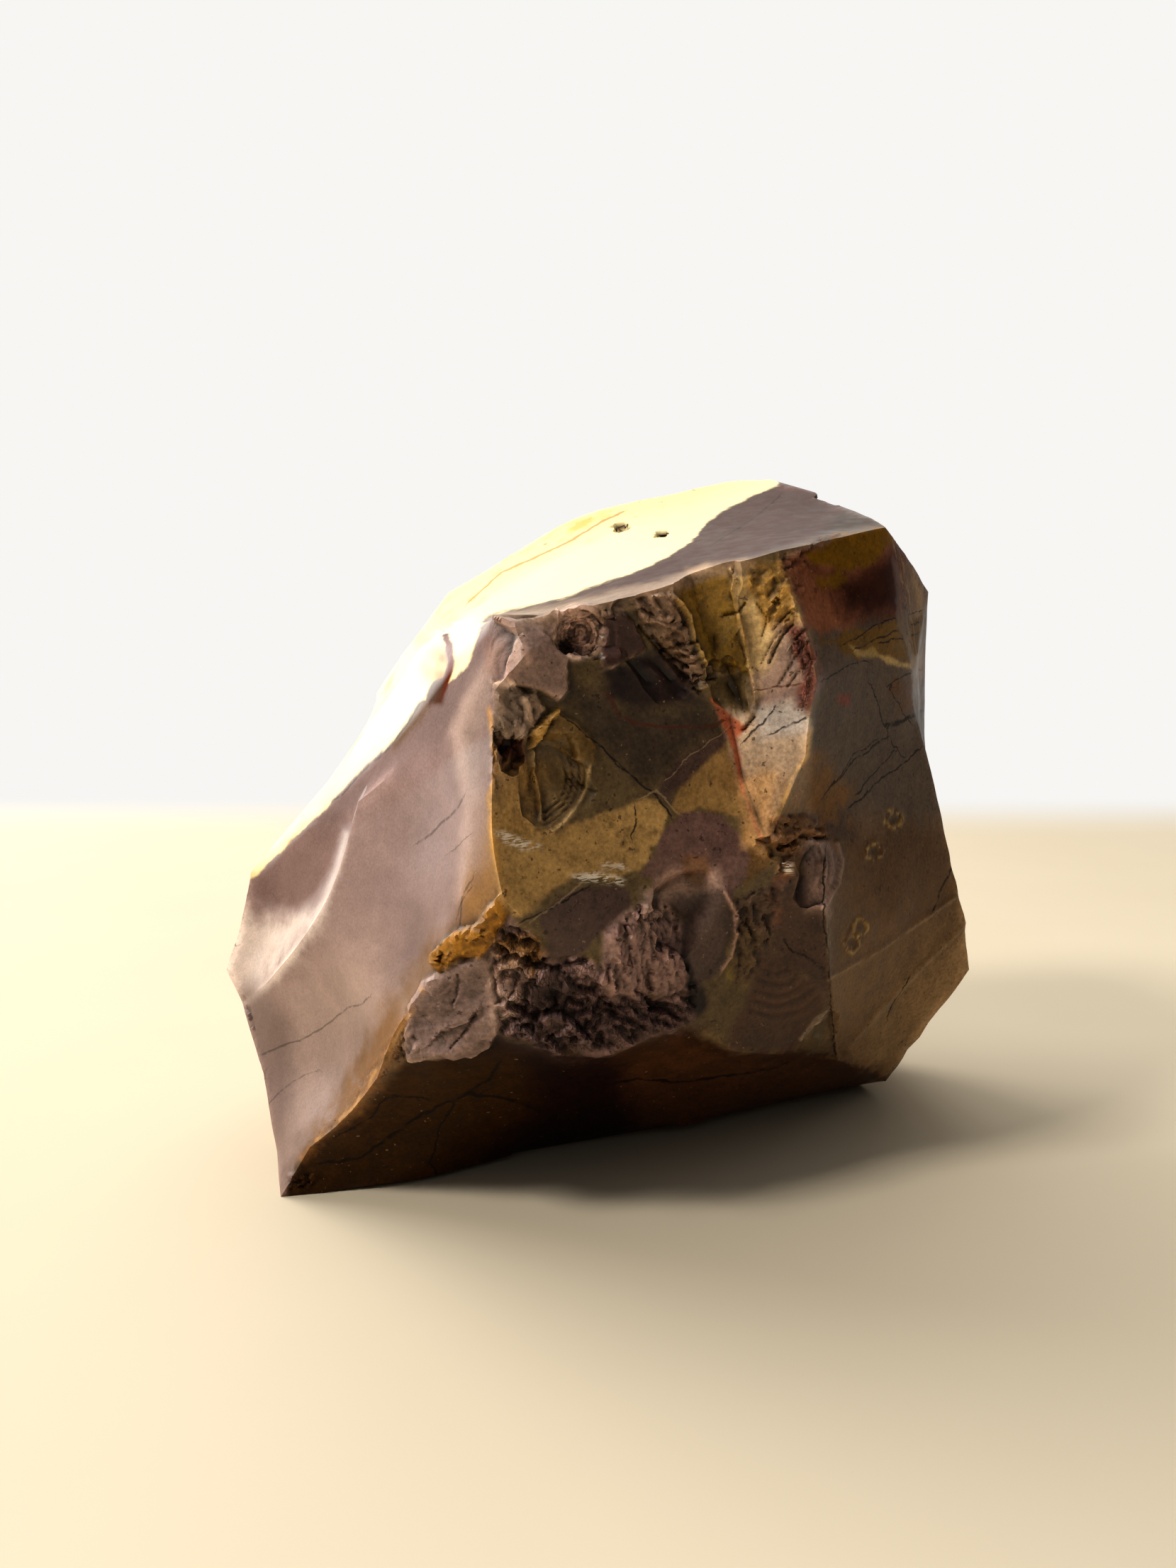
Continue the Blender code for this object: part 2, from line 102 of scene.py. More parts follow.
# Lumps of the mottling, specks, stains and grain, in millimetres
LARGE_LUMPS = 9.0
MEDIUM_LUMPS = 2.2
FINE_LUMPS = 0.5
GRIT_LUMPS = 0.28
CRUMB_LUMPS = 0.9
DARK_SPECKS = 0.8
PALE_SPECKS = 0.62
STAIN_LUMPS = 7.0
FRECKLES = 1.6
BRUISE_DASHES = 0.5
VEIN_BREAKS = 1.3

# Gaps between crumbs: size of the crumbs and width of the gaps, how they bend and how they are drawn out
GAP_CELLS = ((1.7, 0.08), (0.65, 0.096))
GAP_BEND_LUMPS = 1.3
GAP_BEND = 0.9
GAP_STRETCH = (1.5, 1.0, 0.75)

# Regions on the photo, in pixels
BROKEN_FRONT = (
    (680, 850), (900, 790), (1255, 735), (1310, 960), (1320, 1110), (1190, 1200), (1190, 1510), (900, 1515),
    (555, 1515), (560, 1440), (620, 1330), (690, 1240), (668, 1100), (680, 960),
)
LEFT_FACE = (
    (693, 865), (728, 882), (722, 950), (700, 977), (693, 1033), (700, 1089), (689, 1124), (693, 1173),
    (705, 1240), (679, 1285), (616, 1335), (600, 1400), (541, 1487), (498, 1570), (442, 1610), (400, 1700),
    (300, 1700), (260, 1300), (360, 1150), (480, 1040), (560, 890), (620, 830),
)
TOP_FACE = (
    (600, 900), (693, 870), (784, 868), (861, 845), (938, 830), (1001, 806), (1058, 789), (1107, 775),
    (1170, 754), (1256, 743), (1180, 650), (1000, 620), (800, 640), (600, 760),
)
RIGHT_FACE = (
    (1170, 754), (1256, 738), (1400, 800), (1420, 1400), (1250, 1560), (1180, 1493), (1170, 1420),
    (1170, 1340), (1165, 1200), (1140, 1130), (1143, 1040), (1155, 960), (1150, 900), (1130, 860),
    (1112, 800), (1130, 772),
)
UNDERCUT = (
    (577, 1495), (664, 1490), (699, 1462), (763, 1477), (859, 1487), (923, 1464), (964, 1449), (1031, 1484),
    (1124, 1483), (1180, 1494), (1250, 1518), (1200, 1600), (800, 1700), (380, 1740), (430, 1620),
    (500, 1572),
)
UNDERCUT_LEFT = (
    (430, 1612), (500, 1560), (545, 1500), (640, 1492), (730, 1490), (760, 1560), (640, 1680), (380, 1740),
)
UNDERCUT_RIGHT = (
    (870, 1480), (960, 1450), (1031, 1484), (1180, 1494), (1250, 1518), (1160, 1600), (900, 1600),
)

# Smooth faces and strips: outline, strength of the mottling, and shine
CHEEK = (
    (700, 870), (715, 960), (692, 1040), (640, 1075), (560, 1130), (490, 1170), (435, 1160), (508, 1088),
    (575, 1016), (640, 930),
)
RIGHT_STRIP = ((1262, 745), (1340, 800), (1340, 1120), (1290, 1120), (1292, 1000), (1296, 900), (1278, 800))
SCAR_SHADE = (
    (400, 1195), (430, 1165), (462, 1146), (482, 1148), (486, 1172), (472, 1222), (450, 1262), (420, 1285),
    (385, 1280), (358, 1262), (362, 1240), (380, 1218),
)
SMOOTH_FACES = (
    (LEFT_FACE, 0.2, 0.25),
    (CHEEK, 0.2, 0.0),
    (SCAR_SHADE, 0.2, 0.0),
    (TOP_FACE, 0.3, 0.05),
    (RIGHT_FACE, 0.8, 0.05),
    (RIGHT_STRIP, 0.8, 0.05),
    (UNDERCUT, 1.0, 0.1),
)

# A worn spot where no ridge of the stone stays sharp
WORN_SPOT = ((905, 1195), (1012, 1195), (1030, 1260), (1010, 1340), (960, 1345), (925, 1290))

# Raised or sunk plates: height and edge in millimetres, then the outline
PLATES = dict(
    upper_left_shelf=(0.7, 0.25, ((700, 872), (728, 878), (760, 872), (787, 866), (776, 905), (783, 918),
        (798, 932), (799, 975), (786, 988), (760, 974), (735, 968), (712, 962), (724, 925), (733, 898))),
    reddish_flake=(0.55, 0.18, ((850, 862), (880, 866), (893, 878), (903, 898), (912, 915), (900, 921),
        (884, 930), (862, 944), (849, 940), (845, 915), (848, 885))),
    brow_flake=(0.5, 0.2, ((897, 848), (930, 838), (948, 842), (958, 858), (965, 875), (940, 880),
        (915, 878), (900, 870))),
    ochre_fin=(0.8, 0.2, ((743, 1056), (752, 1050), (765, 1030), (790, 1005), (787, 999), (770, 1010),
        (750, 1030))),
    olive_shelf=(0.4, 0.25, ((765, 1040), (787, 1005), (812, 1020), (840, 1050), (838, 1078), (812, 1070),
        (790, 1057))),
    left_stack=(0.5, 0.2, ((700, 965), (722, 960), (745, 985), (748, 1020), (742, 1042), (712, 1040),
        (700, 1010))),
    triangle_flake=(0.45, 0.2, ((733, 985), (752, 975), (768, 1000), (750, 1030), (740, 1015))),
    grey_flake=(0.6, 0.25, ((578, 1420), (600, 1385), (618, 1372), (650, 1352), (682, 1345), (692, 1365),
        (700, 1400), (702, 1455), (690, 1475), (664, 1489), (620, 1493), (577, 1495), (572, 1460))),
    ochre_crust=(0.7, 0.25, ((612, 1345), (640, 1318), (680, 1298), (707, 1262), (716, 1285), (712, 1300),
        (700, 1325), (684, 1342), (650, 1352), (620, 1372), (613, 1362))),
    fibre_fan=(0.3, 0.5, ((852, 1316), (878, 1291), (897, 1275), (939, 1269), (964, 1304), (964, 1345),
        (983, 1367), (980, 1400), (950, 1410), (900, 1400), (860, 1405), (845, 1370))),
    pale_step=(-0.16, 0.12, ((1171, 1425), (1180, 1493), (1150, 1490), (1124, 1482), (1148, 1440),
        (1152, 1432))),
    knot_block=(0.5, 0.2, ((1081, 1190), (1100, 1165), (1135, 1165), (1170, 1180), (1135, 1180),
        (1115, 1200), (1090, 1195))),
    step_one=(-0.5, 0.2, ((899, 843), (945, 842), (962, 855), (972, 880), (960, 888), (930, 872),
        (905, 862))),
    step_two=(-0.35, 0.2, ((905, 880), (935, 884), (968, 900), (975, 915), (962, 925), (940, 915),
        (918, 898))),
    step_three=(-0.5, 0.2, ((925, 905), (945, 918), (985, 935), (1003, 945), (985, 975), (962, 962),
        (945, 930))),
)

# Curved ripples: middle, first and last radius, spacing in pixels, height in millimetres, outline
RIPPLES = dict(
    shell_scar=((745, 1095), 48, 92, 8.5, 0.13, ((748, 1058), (790, 1058), (815, 1068), (831, 1085),
        (828, 1115), (805, 1150), (780, 1170), (755, 1172), (758, 1120), (750, 1090))),
    round_scar=((960, 1320), 40, 62, 9.0, 0.06, ((1000, 1240), (1035, 1270), (1042, 1320), (1012, 1380),
        (990, 1370), (1010, 1320), (1005, 1280))),
    ripple_scar=((1093, 1345), 18, 95, 15.0, 0.1, ((1070, 1340), (1095, 1345), (1120, 1365), (1150, 1385),
        (1170, 1415), (1124, 1482), (1031, 1483), (1030, 1450), (1050, 1420), (1060, 1385))),
    small_fan=((1095, 1225), 50, 88, 9.0, 0.08, ((1128, 1195), (1140, 1184), (1170, 1186), (1187, 1212),
        (1180, 1246), (1160, 1268), (1140, 1240))),
    left_scar=((345, 1390), 60, 280, 46.0, 0.025, ((350, 1200), (470, 1110), (500, 1140), (470, 1240),
        (440, 1310), (380, 1385), (330, 1400))),
)

# Raised ribs and sunk cracks: height and width in millimetres, then the run
RIBS = dict(
    light_band=(0.3, 1.0, ((707, 914), (665, 991), (647, 1033), (658, 1089), (665, 1131), (660, 1200),
        (654, 1264))),
    upright_left_rib=(0.5, 0.22, ((945, 838), (958, 850), (972, 868), (978, 900), (990, 925), (1003, 947))),
    upright_right_rib=(0.45, 0.22, ((1031, 803), (1038, 815), (1034, 835), (1044, 880), (1054, 920),
        (1062, 955), (1067, 985), (1062, 1002))),
    upright_cross=(0.25, 0.2, ((1003, 947), (1022, 951), (1045, 946), (1056, 940))),
    shell_blade=(0.6, 0.2, ((749, 1058), (751, 1090), (758, 1120), (762, 1157))),
    shell_rim=(0.35, 0.25, ((831, 1082), (829, 1110), (815, 1138), (795, 1160), (778, 1173))),
    round_rim=(0.4, 0.4, ((1022, 1258), (1036, 1285), (1037, 1320), (1028, 1350), (1008, 1378))),
    fan_rim=(0.3, 0.3, ((1180, 1190), (1187, 1212), (1182, 1245), (1172, 1262), (1160, 1282))),
    olive_lip=(0.3, 0.2, ((760, 1045), (790, 1056), (812, 1069), (832, 1078))),
    lower_right_bend=(0.2, 0.4, ((1359, 1308), (1326, 1339), (1290, 1375), (1244, 1423), (1196, 1479))),
    upper_right_bend=(0.16, 0.4, ((1348, 1266), (1300, 1300), (1244, 1339), (1168, 1381))),
    wedge_crack_long=(-0.5, 0.16, ((1117, 882), (1103, 897), (1093, 915), (1085, 935))),
    wedge_crack_short=(-0.35, 0.14, ((1137, 887), (1120, 903), (1113, 930))),
    wedge_crack_left=(-0.4, 0.2, ((1022, 868), (1040, 865), (1050, 852))),
    step_shadow=(-0.5, 0.25, ((1005, 948), (990, 960), (978, 968))),
    flake_slit=(-0.6, 0.22, ((1062, 1012), (1048, 1030))),
    wedge_crack_a=(-0.25, 0.13, ((1140, 904), (1120, 930), (1096, 969))),
    wedge_crack_b=(-0.25, 0.13, ((1104, 887), (1088, 908), (1074, 936))),
    wedge_crack_c=(-0.25, 0.13, ((1125, 862), (1105, 872), (1090, 890))),
    wedge_crack_d=(-0.25, 0.13, ((1066, 850), (1082, 872), (1075, 897))),
    wedge_crack_e=(-0.25, 0.13, ((1140, 935), (1125, 950), (1112, 968))),
    step_edge=(-0.6, 0.2, ((903, 884), (938, 925), (965, 958), (987, 976))),
    step_crack_a=(-0.5, 0.16, ((922, 898), (949, 931), (982, 953), (1009, 958))),
    step_crack_b=(-0.45, 0.15, ((933, 920), (955, 914), (984, 904))),
    step_crack_c=(-0.45, 0.15, ((946, 933), (965, 926), (984, 921))),
    step_crack_d=(-0.4, 0.15, ((962, 944), (976, 937), (990, 932))),
    step_crack_e=(-0.4, 0.15, ((905, 858), (925, 872), (944, 880), (960, 878))),
    knot_slit=(-0.8, 0.25, ((1100, 1196), (1118, 1190), (1132, 1178), (1150, 1183), (1165, 1180))),
    ragged_crack=(-0.2, 0.13, ((1106, 1325), (1112, 1336), (1119, 1344), (1132, 1347), (1145, 1355),
        (1162, 1368))),
    grey_flake_crack=(-0.3, 0.13, ((672, 1430), (655, 1455), (637, 1478))),
    grey_flake_split=(-0.25, 0.13, ((648, 1370), (645, 1400), (640, 1412))),
)

# Crumbled patches: height, length and width of a splinter in millimetres, the way that the splinters run
# in degrees below the picture's right-hand side, and the outline
CRUMBS = dict(
    band=(1.0, 4.2, 1.7, 25.0, ((693, 1300), (712, 1294), (763, 1323), (776, 1358), (805, 1355),
        (830, 1345), (845, 1360), (862, 1405), (900, 1402), (950, 1412), (982, 1402), (985, 1440),
        (923, 1463), (859, 1486), (794, 1490), (763, 1476), (731, 1463), (702, 1458), (698, 1400),
        (690, 1350))),
    fan=(0.5, 4.2, 0.8, 84.0, PLATES["fibre_fan"][2]),
    fan_fringe=(0.4, 0.8, 0.5, 80.0, ((872, 1300), (897, 1272), (939, 1266), (962, 1300), (950, 1312),
        (900, 1308))),
    yellow_crumbs=(0.42, 2.2, 1.0, -60.0, ((1055, 800), (1110, 790), (1124, 830), (1130, 880), (1110, 895),
        (1080, 880), (1062, 850), (1052, 820))),
    red_seam=(0.4, 1.4, 0.7, 70.0, ((1108, 880), (1140, 885), (1152, 930), (1155, 960), (1143, 1010),
        (1120, 1000), (1130, 960), (1118, 920))),
    pit_rim=(0.22, 1.5, 0.8, 10.0, ((790, 868), (850, 850), (900, 850), (900, 870), (850, 870), (845, 895),
        (800, 890), (785, 905))),
    ochre_crust=(0.5, 1.8, 0.9, -45.0, PLATES["ochre_crust"][2]),
    yellow_knots=(0.6, 1.2, 0.8, 30.0, ((693, 1320), (763, 1318), (770, 1340), (760, 1368), (700, 1372))),
    cracked_steps=(0.3, 5.0, 2.2, 57.0, ((899, 843), (945, 842), (962, 855), (972, 880), (975, 910),
        (985, 935), (1003, 945), (985, 975), (962, 962), (945, 930), (925, 905), (905, 880))),
    knot=(0.5, 1.5, 0.9, -20.0, ((1085, 1150), (1140, 1145), (1170, 1175), (1135, 1185), (1121, 1235),
        (1095, 1235), (1095, 1200), (1081, 1190))),
    lower_knot=(0.4, 1.8, 0.9, 80.0, ((1030, 1270), (1100, 1240), (1120, 1240), (1098, 1290), (1085, 1340),
        (1060, 1390), (1035, 1390), (1028, 1340))),
    top_seam=(0.3, 1.2, 0.7, -20.0, ((1095, 785), (1130, 770), (1160, 755), (1185, 752), (1180, 762),
        (1140, 782), (1140, 830), (1120, 840), (1105, 805))),
    left_edge=(0.3, 1.2, 0.6, 80.0, ((690, 950), (712, 962), (708, 1040), (703, 1120), (688, 1110),
        (690, 1030))),
    ridge_low=(0.12, 2.6, 0.7, -60.0, ((612, 1375), (628, 1372), (590, 1430), (545, 1500), (500, 1572),
        (448, 1612), (430, 1612), (490, 1545), (540, 1470), (580, 1410))),
    toe=(0.35, 1.4, 0.8, -30.0, ((398, 1689), (405, 1655), (440, 1650), (460, 1660), (440, 1680))),
    dark_chunk=(0.5, 1.8, 1.0, -60.0, ((545, 1500), (560, 1455), (577, 1440), (577, 1500))),
    left_chips=(0.5, 1.4, 0.8, 70.0, ((300, 1340), (318, 1330), (330, 1390), (352, 1410), (362, 1460),
        (372, 1520), (360, 1520), (340, 1440), (318, 1400))),
    grey_flake=(0.28, 5.0, 2.6, -35.0, PLATES["grey_flake"][2]),
    small_bits=(0.15, 1.5, 0.8, 60.0, ((700, 990), (760, 985), (790, 1010), (760, 1060), (735, 1110),
        (700, 1100))),
)

# Crumbled patches without dark gaps between their crumbs, and how crumbled they look
UNCRACKED = (
    "fan", "fan_fringe", "lower_knot", "grey_flake", "pit_rim", "yellow_crumbs", "ochre_crust",
    "cracked_steps", "ridge_low", "left_chips", "small_bits", "left_edge", "knot", "top_seam",
)
UNCRACKED_SHARE = 0.6

# More outlines, and the round pit: middle, radius in pixels, depth and height of its rim in millimetres
FAN_OUTLINE = PLATES["fibre_fan"][2]
WEDGE_OUTLINE = (
    (1035, 815), (1100, 795), (1124, 835), (1145, 900), (1140, 960), (1070, 985), (1056, 930), (1040, 860),
)
PIT_OUTLINE = ((780, 868), (800, 852), (850, 845), (880, 860), (870, 925), (820, 945), (780, 930))
PIT = ((818, 893), 34.0, 0.05, 0.3)

# Slabs that lie over one another like tiles: height in millimetres, spacing in pixels, the way their edges
# run in degrees below the picture's right-hand side, and the outline
LAYERS = dict(
    cracked_steps=(0.6, 24.0, 57.0, CRUMBS["cracked_steps"][-1]),
    cross_steps=(0.55, 15.0, -20.0, ((930, 900), (980, 895), (1015, 958), (992, 985), (958, 962))),
    fan=(0.14, 9.0, 84.0, FAN_OUTLINE),
    wedge_slabs=(0.14, 33.0, -57.0, ((1060, 850), (1124, 840), (1145, 900), (1140, 960), (1070, 985),
        (1058, 930))),
    grey_flake=(0.14, 52.0, -38.0, PLATES["grey_flake"][2]),
    left_stack=(0.15, 15.0, 62.0, PLATES["left_stack"][2]),
    band_left=(0.85, 30.0, -62.0, ((693, 1340), (776, 1350), (850, 1345), (860, 1486), (794, 1490),
        (702, 1458))),
    band_right=(0.7, 26.0, 14.0, ((850, 1400), (985, 1380), (985, 1440), (923, 1463), (859, 1486))),
    upright=(0.2, 40.0, 70.0, ((960, 835), (1031, 803), (1038, 840), (1056, 920), (1062, 960), (1045, 946),
        (1003, 947), (985, 900), (975, 865))),
    corner_curls=(0.14, 13.0, 112.0, ((690, 872), (725, 880), (735, 920), (722, 960), (698, 970),
        (688, 920))),
)

# Colours of the stone, as plain 0 to 255 values
CREAM = (240, 224, 176)
CREAM_WARM = (232, 206, 134)
CREAM_YELLOW = (216, 168, 74)
FRECKLE_BROWN = (148, 92, 44)
RIND_VEIN = (170, 112, 50)
# Painted shade on the rind round the bump at the left
RIND_PAINTED_SHADE = (150, 104, 74)
HOLE_BROWN = (52, 28, 20)
MAUVE = (132, 108, 101)
MAUVE_TOP = (78, 56, 49)
OLIVE_BROWN = (101, 83, 55)
OCHRE = (170, 136, 84)
OCHRE_DARK = (104, 74, 34)
OCHRE_BACK = (138, 110, 70)
PLUM = (106, 79, 71)
PLUM_DARK = (84, 64, 56)
DEEP_BROWN = (44, 29, 25)
BAND_GREY = (146, 117, 110)
FLAKE_GREY = (125, 103, 95)
CRUST_GOLD = (131, 89, 20)
WEDGE_TAN = (206, 174, 120)
WEDGE_BEIGE = (178, 152, 126)
WEDGE_PINK = (138, 112, 102)
WEDGE_PALE = (176, 166, 158)
BRICK_RED = (168, 92, 60)
RUST = (132, 84, 60)
RUST_DARK = (50, 18, 8)
OLIVE_GOLD = (112, 80, 14)
SLATE = (94, 79, 68)
SLATE_LOW = (112, 85, 60)
UNDER_OCHRE = (60, 36, 4)
UNDER_MAROON = (38, 16, 8)
UNDER_BROWN = (80, 50, 26)
RING_GOLD = (160, 132, 82)
SPECK_TAN = (186, 152, 112)
DARK_VEIN = (20, 12, 10)
CROSS_VEIN = (22, 13, 11)
RUSTY_VEIN = (84, 42, 28)
THREAD_DARK = (38, 26, 28)
THREAD_PALE = (168, 142, 112)
# Painted shade in the gaps between crumbs
GAP_SHADE = (22, 14, 12)
BRUISE_WHITE = (228, 216, 200)

# Gaps in the cream rind beside the round bump at the left
CREAM_GAPS = (
    ((624, 890), (632, 893), (641, 912), (642, 935), (635, 960), (622, 992), (612, 992), (627, 958),
        (634, 935), (633, 914)),
    ((609, 962), (630, 955), (624, 992), (604, 996), (600, 984)),
)
